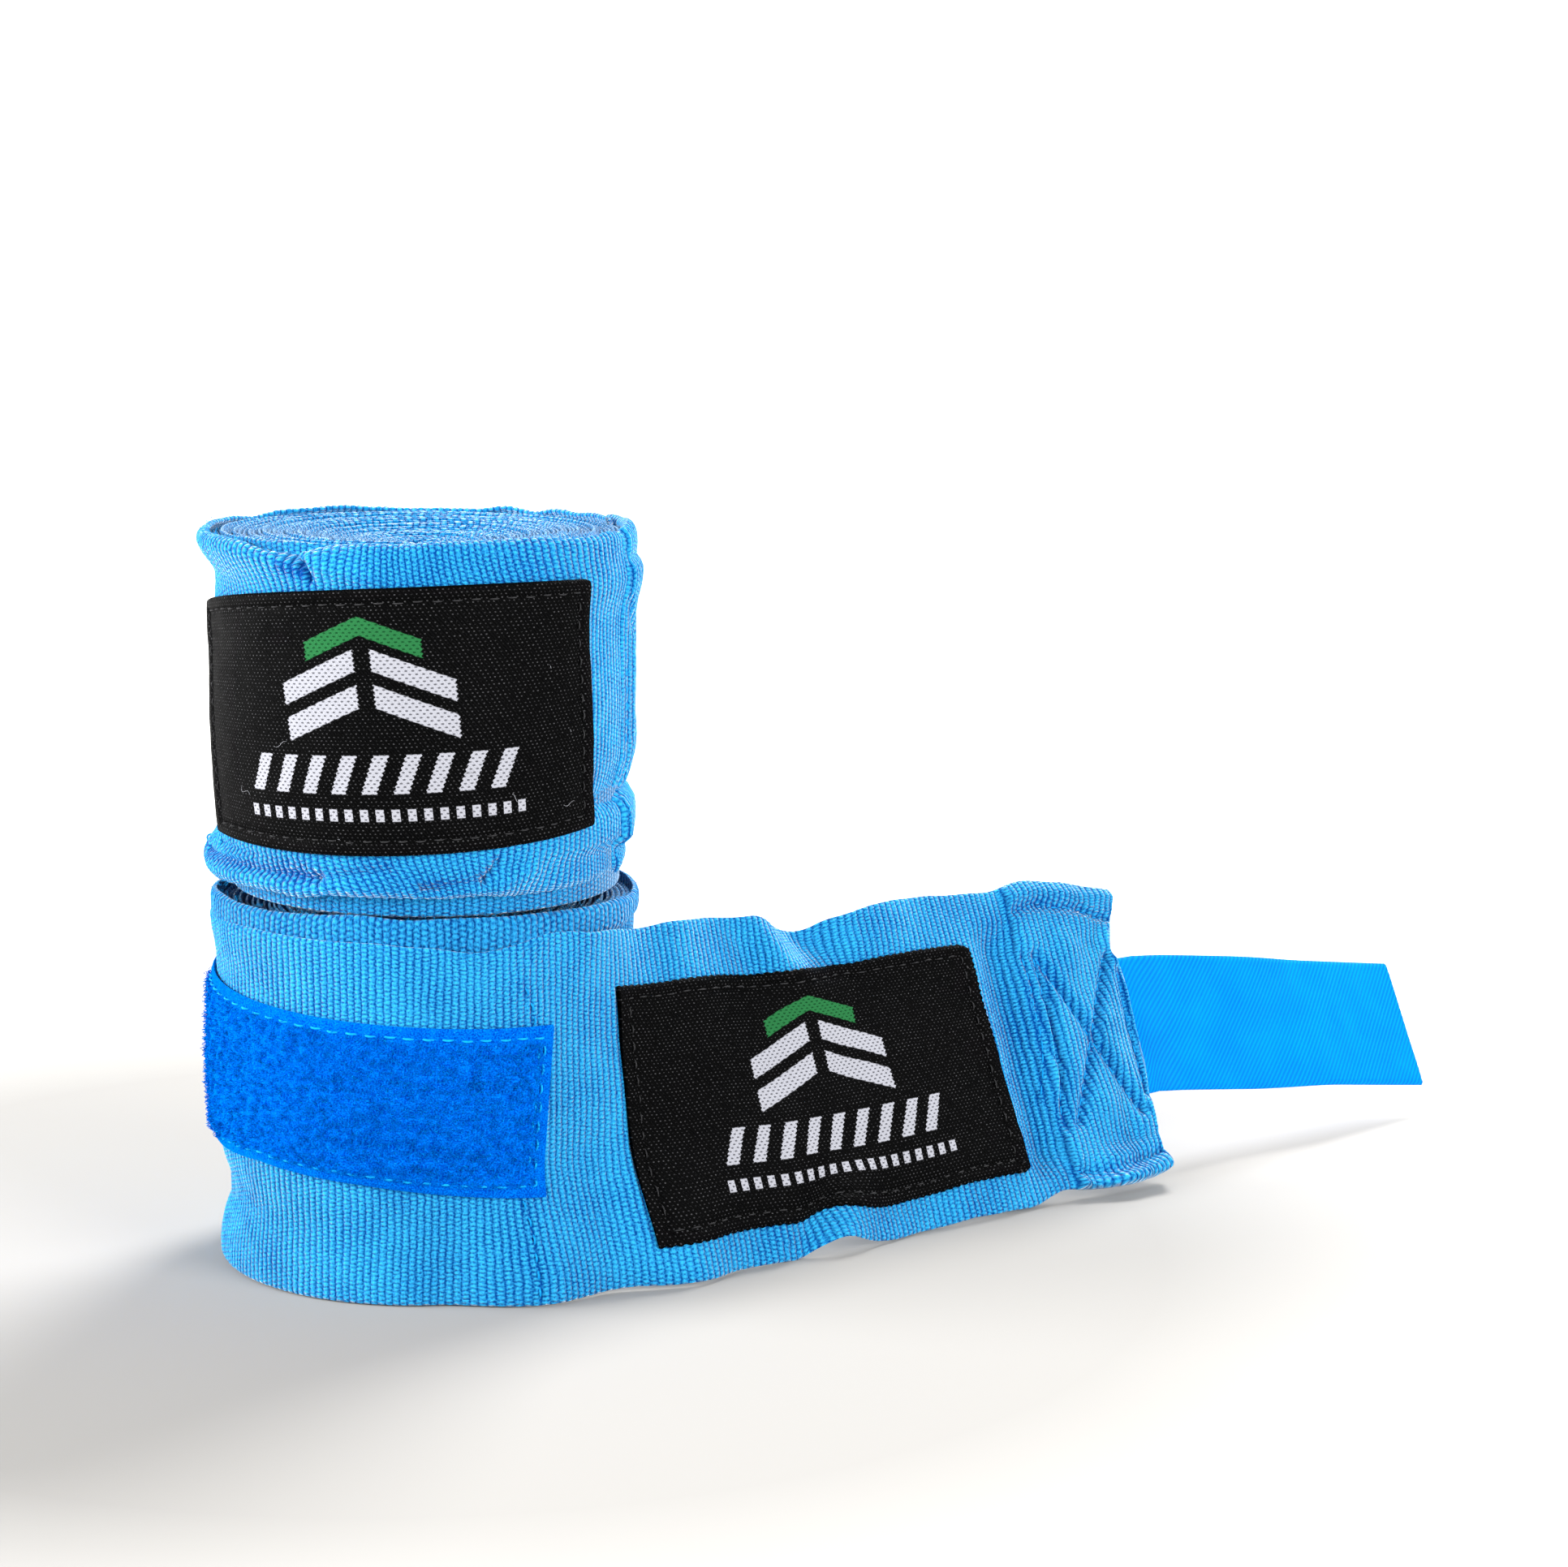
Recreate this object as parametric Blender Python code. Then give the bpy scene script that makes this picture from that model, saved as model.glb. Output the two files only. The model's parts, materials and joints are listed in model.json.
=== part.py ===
"""A pair of rolled elastic hand wraps: one closed roll standing on another whose tail is pulled out.

Metres, +Z up. The lower roll's axis is the Z axis and its base is at z = 0. Angles round a roll are
counted in degrees from its front (-Y), positive towards +X, and the bands unwind in that direction.
"""

import math

import bpy
from mathutils import Matrix, Vector

# The wound rolls
BAND_WIDTH = 0.050
ROLL_HEIGHT = 0.0505
ROLL_RADIUS = 0.0296
CORE_RADIUS = 0.0050
GAP = 0.0003
ROLL_SPACING = 0.0005

# Band, fasteners and labels
BAND_THICKNESS = 0.0016
PATCH_HEIGHT = 0.0232
PATCH_THICKNESS = 0.0008
TAB_HEIGHT = 0.0220
TAB_THICKNESS = 0.0010
LABEL_LENGTH = 0.066
LABEL_HEIGHT = 0.0360
LABEL_THICKNESS = 0.0006
FOLD_THICKNESS = 0.0024
THREAD_RADIUS = 0.00015
THREAD_LIFT = 0.0003
STITCH_INSET = 0.0017

# The lower wrap: where its tail leaves the roll, and how the tail is divided
TAIL_YAW = 38.0
TAIL_HEIGHT = 0.0494
STUB_LENGTH = 0.0144
HINGE_STATIONS = (0.0150, 0.0331, 0.0505, 0.0665, 0.0860, 0.1130, 0.1420)
TAIL_END = 0.1720
TAIL_LEANS = (15.0, 24.0, 24.0, 24.0, 24.0, 24.0, 33.0)
TAB_DROOP = 8.5
PLATE_GAP = 0.0005
LABEL_START = 0.0160
LABEL_DROP = 0.0015
CUT_LENGTH = 0.0062
CUT_START = 0.0085
LOWER_PATCH_ANGLES = (-113.0, 36.5)
LOWER_SEAM_ANGLE = 34.0
LOWER_PATCH_STITCH_END = 30.5

# The upper wrap, closed: angles of its pieces round the roll
UPPER_WOUND_RADIUS = 0.0290
OUTER_TURN_THICKNESS = 0.0010
OUTER_TURN_ANGLES = (-91.0, 69.5)
UPPER_LABEL_ANGLES = (-62.0, 59.0)
UPPER_FOLD_ANGLES = (70.5, 120.0)
UPPER_TAB_ANGLES = (120.8, 231.0)
UPPER_PATCH_ANGLES = (121.0, 265.0)
UPPER_SEAM_ANGLE = 267.0

ARC_STEP = 4.0
BOX_STITCH_HEIGHT = 0.0215
HEM_MARGIN = 0.0015
HALF_TURN = math.pi

COLOURS = {
    "band": ((0.10, 0.40, 0.86), 0.90),
    "pile": ((0.004, 0.13, 0.74), 0.95),
    "tape": ((0.0, 0.30, 0.90), 0.60),
    "label": ((0.008, 0.008, 0.009), 0.55),
    "thread": ((0.012, 0.29, 0.75), 0.70),
    "webbing": ((0.06, 0.32, 0.80), 0.85),
}


def clear_scene():
    for obj in list(bpy.data.objects):
        bpy.data.objects.remove(obj, do_unlink=True)


def make_material(name):
    colour, roughness = COLOURS[name]
    material = bpy.data.materials.new("hand_wrap_" + name)
    material.use_nodes = True
    shader = material.node_tree.nodes["Principled BSDF"]
    shader.inputs["Base Color"].default_value = (*colour, 1.0)
    shader.inputs["Roughness"].default_value = roughness
    shader.inputs["Metallic"].default_value = 0.0
    return material


def link(name, data, matrix, slot):
    """A named object in the wraps' collection, standing at the given matrix."""
    data.materials.append(make_material(slot))
    obj = bpy.data.objects.new(name, data)
    obj.matrix_world = matrix
    PARTS.objects.link(obj)
    return obj


def on_roll(radius, degrees, z=0.0):
    """A point at this radius and angle round the rolls' common axis."""
    turn = math.radians(degrees)
    return Vector((radius * math.sin(turn), -radius * math.cos(turn), z))


def arc(radius, start, end):
    """Points on a roll from one angle to another, about ARC_STEP degrees apart."""
    count = max(2, math.ceil(abs(end - start) / ARC_STEP) + 1)
    return [on_roll(radius, start + (end - start) * i / (count - 1)) for i in range(count)]


def outline_solid(name, loops, thickness, matrix, slot):
    """A flat outline, with any holes, thickened evenly to both sides of its plane."""
    curve = bpy.data.curves.new(name, "CURVE")
    curve.dimensions = "2D"
    curve.fill_mode = "BOTH"
    curve.extrude = thickness / 2
    for loop in loops:
        spline = curve.splines.new("POLY")
        spline.points.add(len(loop) - 1)
        for point, place in zip(spline.points, loop):
            point.co = (place[0], place[1], 0.0, 1.0)
        spline.use_cyclic_u = True
    return link(name, curve, matrix, slot)


def upright(name, loops, low, high, slot):
    """An outline drawn in plan, standing from one height to another."""
    place = Matrix.Translation((0.0, 0.0, (low + high) / 2))
    return outline_solid(name, loops, high - low, place, slot)


def curved_strip(name, inner, outer, angles, low, high, slot):
    """A strip that follows the roll between two radii and two angles."""
    start, end = angles
    loop = arc(inner, start, end) + arc(outer, end, start)
    return upright(name, [loop], low, high, slot)


def thread(name, points, closed, matrix=None):
    """A stitching line as one thread; an open one has its ends filled."""
    curve = bpy.data.curves.new(name, "CURVE")
    curve.dimensions = "3D"
    curve.bevel_depth = THREAD_RADIUS
    curve.bevel_resolution = 2
    curve.use_fill_caps = not closed
    spline = curve.splines.new("POLY")
    spline.points.add(len(points) - 1)
    for point, place in zip(spline.points, points):
        point.co = (*place, 1.0)
    spline.use_cyclic_u = closed
    return link(name, curve, matrix or Matrix.Identity(4), "thread")


def stitched_rectangle(name, radius, angles, low, high):
    """A closed line of stitching round a piece that follows the roll."""
    start, end = angles
    along = [Vector((p.x, p.y, low)) for p in arc(radius, start, end)]
    back = [Vector((p.x, p.y, high)) for p in arc(radius, end, start)]
    return thread(name, along + back, closed=True)


def box_stitching(name, place, length, height, matrix=None):
    """Two upright lines joined by crossing diagonals; one diagonal rides over the other.

    place(x, z, lift) gives the point x along the piece, z up it and lift above its face.
    """
    steps = 8
    rise = 4 * THREAD_RADIUS
    points = []
    for i in range(steps):
        points.append(place(0.0, height * (i / steps - 0.5), 0.0))
    for i in range(steps):
        points.append(place(length * i / steps, height * (0.5 - i / steps), 0.0))
    for i in range(steps):
        points.append(place(length, height * (i / steps - 0.5), 0.0))
    for i in range(steps):
        lift = rise * math.sin(HALF_TURN * i / steps)
        points.append(place(length * (1 - i / steps), height * (0.5 - i / steps), lift))
    return thread(name, points, closed=True, matrix=matrix)


def tail_frame(station, lean):
    """The frame of a stretch of tail: X along it, Y towards the roll once wound, Z up the band.

    Past the folded end the hook tab droops towards the ground.
    """
    turn = Matrix.Rotation(math.radians(TAIL_YAW), 4, "Z")
    along = turn @ Vector((1.0, 0.0, 0.0))
    outward = turn @ Vector((0.0, -1.0, 0.0))
    middle = ROLL_RADIUS - BAND_THICKNESS / 2
    tab_root = HINGE_STATIONS[5]
    place = outward * middle + along * min(station, tab_root) + Vector((0.0, 0.0, ROLL_HEIGHT / 2))
    frame = Matrix.Translation(place) @ turn
    if station >= tab_root:
        droop = Matrix.Rotation(math.radians(TAB_DROOP), 4, "Y")
        frame = frame @ droop @ Matrix.Translation((station - tab_root, 0.0, 0.0))
    return frame @ Matrix.Rotation(-math.radians(lean), 4, "X")


def tail_plate(name, index, corners, inner, outer, slot):
    """A flat piece on a stretch of tail, between two distances from the band's middle surface."""
    frame = tail_frame(HINGE_STATIONS[index], TAIL_LEANS[index])
    stand = Matrix.Rotation(math.radians(90.0), 4, "X")
    shift = Matrix.Translation((0.0, 0.0, (inner + outer) / 2))
    return outline_solid(name, [corners], outer - inner, frame @ stand @ shift, slot)


def rectangle(start, end, low, high):
    return [(start, low), (end, low), (end, high), (start, high)]


def stretch_length(index):
    ends = HINGE_STATIONS[1:] + (TAIL_END,)
    return ends[index] - HINGE_STATIONS[index]


def make_lower_roll():
    """The wound turns with the first bit of tail leaving them at a tangent, and the rolled-up thumb loop."""
    inner = ROLL_RADIUS - BAND_THICKNESS
    meets = TAIL_YAW + math.degrees(math.acos(inner / ROLL_RADIUS))
    turns = arc(ROLL_RADIUS, meets, TAIL_YAW + 360.0)
    along = Matrix.Rotation(math.radians(TAIL_YAW), 4, "Z") @ Vector((STUB_LENGTH, 0.0, 0.0))
    stub = [on_roll(ROLL_RADIUS, TAIL_YAW) + along, on_roll(inner, TAIL_YAW) + along]
    core = arc(CORE_RADIUS + GAP, 0.0, 360.0)[:-1]
    upright("lower_wound_band", [turns + stub, core], 0.0, ROLL_HEIGHT, "band")
    loop = arc(CORE_RADIUS, 0.0, 360.0)[:-1]
    upright("lower_thumb_loop", [loop], 0.0, ROLL_HEIGHT, "webbing")


def make_lower_patch():
    """The loop patch on the roll, the stitching round it and the seam that crosses its end."""
    middle = ROLL_HEIGHT / 2
    low = middle - PATCH_HEIGHT / 2
    high = middle + PATCH_HEIGHT / 2
    inner = ROLL_RADIUS + GAP
    face = inner + PATCH_THICKNESS
    curved_strip("lower_loop_patch", inner, face, LOWER_PATCH_ANGLES, low, high, "pile")
    line = face + THREAD_LIFT
    sewn = (LOWER_PATCH_ANGLES[0] + 3.0, LOWER_PATCH_STITCH_END)
    stitched_rectangle("lower_patch_stitching", line, sewn, low + STITCH_INSET, high - STITCH_INSET)
    step = 2 * THREAD_RADIUS + GAP
    band_line = ROLL_RADIUS + THREAD_LIFT + THREAD_RADIUS
    heights = (HEM_MARGIN, low - step, low - step / 2, high + step / 2, high + step, ROLL_HEIGHT - HEM_MARGIN)
    radii = (band_line, band_line, line, line, band_line, band_line)
    points = [on_roll(r, LOWER_SEAM_ANGLE, z) for r, z in zip(radii, heights)]
    thread("lower_cross_seam", points, closed=False)


def make_lower_tail():
    """The tail's stretches: four of plain band, the folded end, and the hook tab in two."""
    half = TAIL_HEIGHT / 2
    side = BAND_THICKNESS / 2
    for index in range(4):
        end = stretch_length(index) - PLATE_GAP
        corners = rectangle(PLATE_GAP, end, -half, half)
        if index == 0:
            corners = corners[:3] + [(CUT_LENGTH, half), (PLATE_GAP, CUT_START)]
        tail_plate("lower_tail_band_%d" % (index + 1), index, corners, -side, side, "band")
    end = stretch_length(4) - PLATE_GAP
    fold = rectangle(PLATE_GAP, end, -half, half)
    tail_plate("lower_end_fold", 4, fold, -side, FOLD_THICKNESS - side, "band")
    tab = TAB_THICKNESS / 2
    half_tab = TAB_HEIGHT / 2
    slant = half_tab * math.tan(math.radians(TAB_DROOP))
    root_end = stretch_length(5) - PLATE_GAP
    root = [(PLATE_GAP + slant, -half_tab), (root_end, -half_tab), (root_end, half_tab), (0.0, half_tab)]
    tail_plate("lower_hook_tab_root", 5, root, -tab, tab, "tape")
    tip = rectangle(PLATE_GAP, stretch_length(6) - PLATE_GAP, -half_tab, half_tab)
    tail_plate("lower_hook_tab_tip", 6, tip, -tab, tab, "tape")


def make_lower_label():
    """The woven label in one piece for each stretch of tail that it crosses."""
    low = -LABEL_HEIGHT / 2 - LABEL_DROP
    high = LABEL_HEIGHT / 2 - LABEL_DROP
    inner = BAND_THICKNESS / 2 + GAP
    for index in range(4):
        hinge = HINGE_STATIONS[index]
        start = max(LABEL_START - hinge, PLATE_GAP)
        end = min(LABEL_START + LABEL_LENGTH - hinge, stretch_length(index) - PLATE_GAP)
        corners = rectangle(start, end, low, high)
        name = "lower_label_%d" % (index + 1)
        tail_plate(name, index, corners, inner, inner + LABEL_THICKNESS, "label")


def make_lower_box_stitching():
    margin = (stretch_length(4) - 2 * PLATE_GAP) / 8
    face = FOLD_THICKNESS - BAND_THICKNESS / 2 + THREAD_LIFT

    def place(x, z, lift):
        return Vector((margin + x, -(face + lift), z))

    frame = tail_frame(HINGE_STATIONS[4], TAIL_LEANS[4])
    box_stitching("lower_box_stitching", place, stretch_length(4) - 2 * margin, BOX_STITCH_HEIGHT, frame)


def make_upper_roll(base):
    top = base + ROLL_HEIGHT
    turns = arc(UPPER_WOUND_RADIUS, 0.0, 360.0)[:-1]
    core = arc(CORE_RADIUS + GAP, 0.0, 360.0)[:-1]
    upright("upper_wound_band", [turns, core], base, top, "band")
    upright("upper_thumb_loop", [arc(CORE_RADIUS, 0.0, 360.0)[:-1]], base, top, "webbing")
    inner = UPPER_WOUND_RADIUS + GAP
    low = base + (ROLL_HEIGHT - BAND_WIDTH) / 2
    high = low + BAND_WIDTH
    outer = inner + OUTER_TURN_THICKNESS
    curved_strip("upper_outer_turn", inner, outer, OUTER_TURN_ANGLES, low, high, "band")
    fold_face = inner + FOLD_THICKNESS
    curved_strip("upper_end_fold", inner, fold_face, UPPER_FOLD_ANGLES, low, high, "band")


def make_upper_label(base):
    middle = base + ROLL_HEIGHT / 2
    low = middle - LABEL_HEIGHT / 2
    high = middle + LABEL_HEIGHT / 2
    inner = UPPER_WOUND_RADIUS + GAP + OUTER_TURN_THICKNESS + GAP
    face = inner + LABEL_THICKNESS
    curved_strip("upper_label", inner, face, UPPER_LABEL_ANGLES, low, high, "label")
    sewn = (UPPER_LABEL_ANGLES[0] + 3.0, UPPER_LABEL_ANGLES[1] - 3.0)
    line = face + THREAD_LIFT
    stitched_rectangle("upper_label_stitching", line, sewn, low + STITCH_INSET, high - STITCH_INSET)


def make_upper_fasteners(base):
    """The loop patch behind the roll, its stitching and seam, and the hook tab lying on it."""
    middle = base + ROLL_HEIGHT / 2
    low = middle - PATCH_HEIGHT / 2
    high = middle + PATCH_HEIGHT / 2
    inner = UPPER_WOUND_RADIUS + GAP
    face = inner + PATCH_THICKNESS
    curved_strip("upper_loop_patch", inner, face, UPPER_PATCH_ANGLES, low, high, "pile")
    line = face + THREAD_LIFT
    sewn = (UPPER_PATCH_ANGLES[0] + 3.0, UPPER_PATCH_ANGLES[1] - 3.0)
    stitched_rectangle("upper_patch_stitching", line, sewn, low + STITCH_INSET, high - STITCH_INSET)
    seam_line = UPPER_WOUND_RADIUS + THREAD_LIFT + THREAD_RADIUS
    heights = (base + HEM_MARGIN, middle, base + ROLL_HEIGHT - HEM_MARGIN)
    seam = [on_roll(seam_line, UPPER_SEAM_ANGLE, z) for z in heights]
    thread("upper_cross_seam", seam, closed=False)
    tab_inner = line + THREAD_RADIUS + GAP
    half_tab = TAB_HEIGHT / 2
    root = on_roll(tab_inner + TAB_THICKNESS / 2, UPPER_FOLD_ANGLES[1])
    strip = arc(tab_inner, *UPPER_TAB_ANGLES) + arc(tab_inner + TAB_THICKNESS, *reversed(UPPER_TAB_ANGLES))
    loop = [point - root for point in strip]
    place = Matrix.Translation((root.x, root.y, middle))
    outline_solid("upper_hook_tab", [loop], 2 * half_tab, place, "tape")


def make_upper_box_stitching(base):
    face = UPPER_WOUND_RADIUS + GAP + FOLD_THICKNESS + THREAD_LIFT
    middle = base + ROLL_HEIGHT / 2
    start, end = UPPER_FOLD_ANGLES
    margin = (end - start) / 8
    length = math.radians(end - start - 2 * margin) * face

    def place(x, z, lift):
        return on_roll(face + lift, start + margin + math.degrees(x / face), middle + z)

    box_stitching("upper_box_stitching", place, length, BOX_STITCH_HEIGHT)


clear_scene()
PARTS = bpy.data.collections.new("hand_wraps")
bpy.context.scene.collection.children.link(PARTS)

make_lower_roll()
make_lower_patch()
make_lower_tail()
make_lower_label()
make_lower_box_stitching()

UPPER_BASE = ROLL_HEIGHT + ROLL_SPACING
make_upper_roll(UPPER_BASE)
make_upper_label(UPPER_BASE)
make_upper_fasteners(UPPER_BASE)
make_upper_box_stitching(UPPER_BASE)
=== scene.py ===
"""The looks of a pair of rolled elastic hand wraps: ribbed bands, labels, loop patches and hook tabs.

Shapes are worked out in millimetres in the frame of the CAD part. A band is described by s, the distance
along it, and v, the height across it; every cloth mesh carries these as its "cloth" attribute, and the
weaves, stitches and patterns of the materials follow it. Angles round a roll are in degrees from its
front (-Y), positive towards +X.
"""

import json
import math

import bpy
import numpy as np
from mathutils import Matrix, Vector


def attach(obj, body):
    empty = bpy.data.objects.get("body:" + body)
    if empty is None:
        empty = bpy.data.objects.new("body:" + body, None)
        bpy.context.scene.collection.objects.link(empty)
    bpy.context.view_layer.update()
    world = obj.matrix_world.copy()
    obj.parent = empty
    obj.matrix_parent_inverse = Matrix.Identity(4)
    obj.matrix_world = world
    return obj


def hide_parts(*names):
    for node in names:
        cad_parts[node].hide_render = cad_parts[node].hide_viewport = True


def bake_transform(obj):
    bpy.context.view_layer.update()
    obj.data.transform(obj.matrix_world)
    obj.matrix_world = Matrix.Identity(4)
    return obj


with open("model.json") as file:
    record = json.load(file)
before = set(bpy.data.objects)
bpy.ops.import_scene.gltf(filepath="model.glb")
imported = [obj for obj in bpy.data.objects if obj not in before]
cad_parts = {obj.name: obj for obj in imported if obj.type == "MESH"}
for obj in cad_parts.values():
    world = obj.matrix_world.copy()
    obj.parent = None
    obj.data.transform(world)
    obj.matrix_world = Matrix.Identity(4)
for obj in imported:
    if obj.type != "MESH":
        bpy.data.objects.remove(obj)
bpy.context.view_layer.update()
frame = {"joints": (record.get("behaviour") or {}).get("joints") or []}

MM = 0.001
RNG = np.random.default_rng(11)

# ---- Driving dimensions, in millimetres and degrees ----

BAND_WIDTH = 50.0
BAND_THICK = 1.0
RIB_PITCH = 1.0
RIB_DEPTH = 0.17
KNIT_STEP = RIB_PITCH / 5
BAND_BODY = BAND_THICK - RIB_DEPTH
WRAP_LENGTH = 4500.0

LABEL_LENGTH = 66.0
LABEL_HEIGHT = 36.0
LABEL_THICK = 0.45
LABEL_STEP = 0.33
HEM_INSET = 1.9
LABEL_START = 15.6
LABEL_DROP = 2.0

TAB_HEIGHT = 21.6
TAB_LENGTH = 59.0
TAB_THICK = 0.9

# How far the tail leans back over its first two joints, over what reach on each side, and more at its tip
LEANS = (15.0, 9.0)
LEAN_REACH = 9.0
TIP_LEAN = 9.0

PATCH_HEIGHT = 22.6


def joint(name):
    return next(j for j in frame["joints"] if j["name"] == name)


HINGES = [np.array(joint("lower_tail_bend_%d" % k)["pos_m"]) / MM for k in range(1, 8)]
ALONG = HINGES[5] - HINGES[0]
ALONG[2] = 0.0
ALONG /= np.linalg.norm(ALONG)
OUTWARD = np.array([ALONG[1], -ALONG[0], 0.0])
UP = np.array([0.0, 0.0, 1.0])
MID_RADIUS = float(HINGES[0] @ OUTWARD)
YAW = math.degrees(math.atan2(ALONG[1], ALONG[0]))
STATIONS = [float(h @ ALONG) for h in HINGES[:6]]
TAB_REACH = HINGES[6] - HINGES[5]
TAB_BEND = float(np.linalg.norm(TAB_REACH))
DROOP = -math.asin(TAB_REACH[2] / TAB_BEND)
STATIONS.append(STATIONS[5] + TAB_BEND)
BODIES = ["lower_roll", "lower_tail_1", "lower_tail_2", "lower_tail_3", "lower_tail_4", "lower_tail_end"]
BODIES += ["lower_tab_root", "lower_tab_tip"]
# Where each bend starts and ends along the tail
BENDS = [
    (STATIONS[0] - LEAN_REACH, STATIONS[0] + LEAN_REACH),
    (STATIONS[1] - LEAN_REACH, STATIONS[1] + LEAN_REACH),
    (STATIONS[1] + LEAN_REACH, STATIONS[2] + 8.0),
    (STATIONS[2] + 8.0, STATIONS[3] + 9.5),
    (STATIONS[3] + 10.5, STATIONS[4] + 7.5),
    (STATIONS[5] - 1.0, STATIONS[5] + 12.0),
    (STATIONS[6] - 10.0, STATIONS[6] + 10.0),
]
# Where the tail's band is cut into stretches, each of which bends over one joint
TAIL_CUTS = [6.0, 24.0, 42.0, 58.0, 76.0, 89.0, 113.0]
TAIL_END = TAIL_CUTS[-1]

# The upper roll stands on the lower one
UPPER_MIDDLE = 79.6


# ---- Small helpers ----


def smooth(x):
    x = np.clip(x, 0.0, 1.0)
    return x * x * (3.0 - 2.0 * x)


def bump(x, centre, width):
    """A soft hill of height 1."""
    return np.exp(-(((x - centre) / width) ** 2))


NOISE_SIZE = 64
NOISE = RNG.uniform(-1.0, 1.0, (12, NOISE_SIZE, NOISE_SIZE))


def noise(x, y, layer):
    """Smooth noise between -1 and 1, with features about one unit across."""
    x, y = np.broadcast_arrays(np.asarray(x, float), np.asarray(y, float))
    x0, y0 = np.floor(x).astype(int), np.floor(y).astype(int)
    fx, fy = x - x0, y - y0
    fx, fy = fx * fx * (3 - 2 * fx), fy * fy * (3 - 2 * fy)
    table = NOISE[layer]

    def at(i, j):
        return table[(x0 + i) % NOISE_SIZE, (y0 + j) % NOISE_SIZE]

    low = at(0, 0) * (1 - fx) + at(1, 0) * fx
    high = at(0, 1) * (1 - fx) + at(1, 1) * fx
    return low * (1 - fy) + high * fy


def on_roll(radius, degrees, z):
    turn = np.radians(degrees)
    radius, turn, z = np.broadcast_arrays(radius, turn, z)
    return np.stack([radius * np.sin(turn), -radius * np.cos(turn), z], -1)


def unit(vectors):
    return vectors / np.maximum(np.linalg.norm(vectors, axis=-1, keepdims=True), 1e-9)


def grid_normals(points):
    """Outward normals of a grid of points whose first index runs along the band and second up it."""
    return unit(np.cross(np.gradient(points, axis=0), np.gradient(points, axis=1)))


def stations(start, end, step):
    return np.linspace(start, end, max(2, int(round((end - start) / step)) + 1))


def rows(low, high, step, edge=0.9, fine=0.22):
    """Heights across a band, closer together along its two edges."""
    inner = np.linspace(low + edge, high - edge, max(2, int(round((high - low - 2 * edge) / step)) + 1))
    lip = edge * (1 - np.cos(np.linspace(0, math.pi / 2, int(edge / fine) + 1)[:-1]))
    return np.concatenate([low + lip, inner, high - lip[::-1]])


def rim(v, radius=0.55, least=0.25):
    """How much of its thickness a sheet keeps near its two long edges."""
    near = np.clip(np.minimum(v - v.min(), v.max() - v) / radius, 0.0, 1.0)
    return np.maximum(least, np.sqrt(1.0 - (1.0 - near) ** 2))


def ribs(s):
    """The round ridges of the knit, one every RIB_PITCH, as a height from 0 to 1."""
    return np.abs(np.sin(math.pi * s / RIB_PITCH)) ** 0.8


# ---- Meshes ----


def new_object(name, points, faces, material, cloth=None, normals=None, flat=False):
    mesh = bpy.data.meshes.new(name)
    mesh.from_pydata((points * MM).tolist(), [], faces)
    mesh.polygons.foreach_set("use_smooth", np.full(len(mesh.polygons), not flat))
    if cloth is not None:
        layer = mesh.attributes.new("cloth", "FLOAT_VECTOR", "POINT")
        full = np.concatenate([cloth, np.zeros((len(cloth), 3 - cloth.shape[1]))], 1)
        layer.data.foreach_set("vector", full.astype(np.float32).ravel())
    if normals is not None:
        mesh.normals_split_custom_set_from_vertices(normals.tolist())
    mesh.materials.append(material)
    obj = bpy.data.objects.new(name, mesh)
    bpy.context.scene.collection.objects.link(obj)
    return obj


def grid_faces(n, m, first=0, flip=False):
    i, j = np.meshgrid(np.arange(n - 1), np.arange(m - 1), indexing="ij")
    a = first + i * m + j
    quads = np.stack([a, a + m, a + m + 1, a + 1], -1).reshape(-1, 4)
    return quads[:, ::-1] if flip else quads


def shell(name, front, back, cloth, material, every=1, normals=None):
    """One closed piece of cloth from its front and back grids, joined round the border.

    The back keeps one row in every so many, for a side that is never seen.
    """
    n, m = front.shape[:2]
    kept = np.unique(np.append(np.arange(0, m, every), m - 1))
    k = len(kept)
    back = back[:, kept]
    points = np.concatenate([front.reshape(-1, 3), back.reshape(-1, 3)])
    coords = np.concatenate([cloth.reshape(-1, 3), cloth[:, kept].reshape(-1, 3)])
    first = n * m
    faces = grid_faces(n, m).tolist() + grid_faces(n, k, first, flip=True).tolist()
    i = np.arange(n - 1)
    low = np.stack([i * m, first + i * k, first + (i + 1) * k, (i + 1) * m], -1)
    top, under = i * m + m - 1, first + i * k + k - 1
    high = np.stack([top, top + m, under + k, under], -1)
    faces += low.tolist() + high.tolist()
    start = [j for j in range(m)] + [first + j for j in range(k)][::-1]
    end = [(n - 1) * m + j for j in range(m)][::-1] + [first + (n - 1) * k + j for j in range(k)]
    faces += [start, end]
    if normals is not None:
        normals = np.concatenate([normals[0].reshape(-1, 3), normals[1][:, kept].reshape(-1, 3)])
    return new_object(name, points, faces, material, coords, normals)


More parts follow.
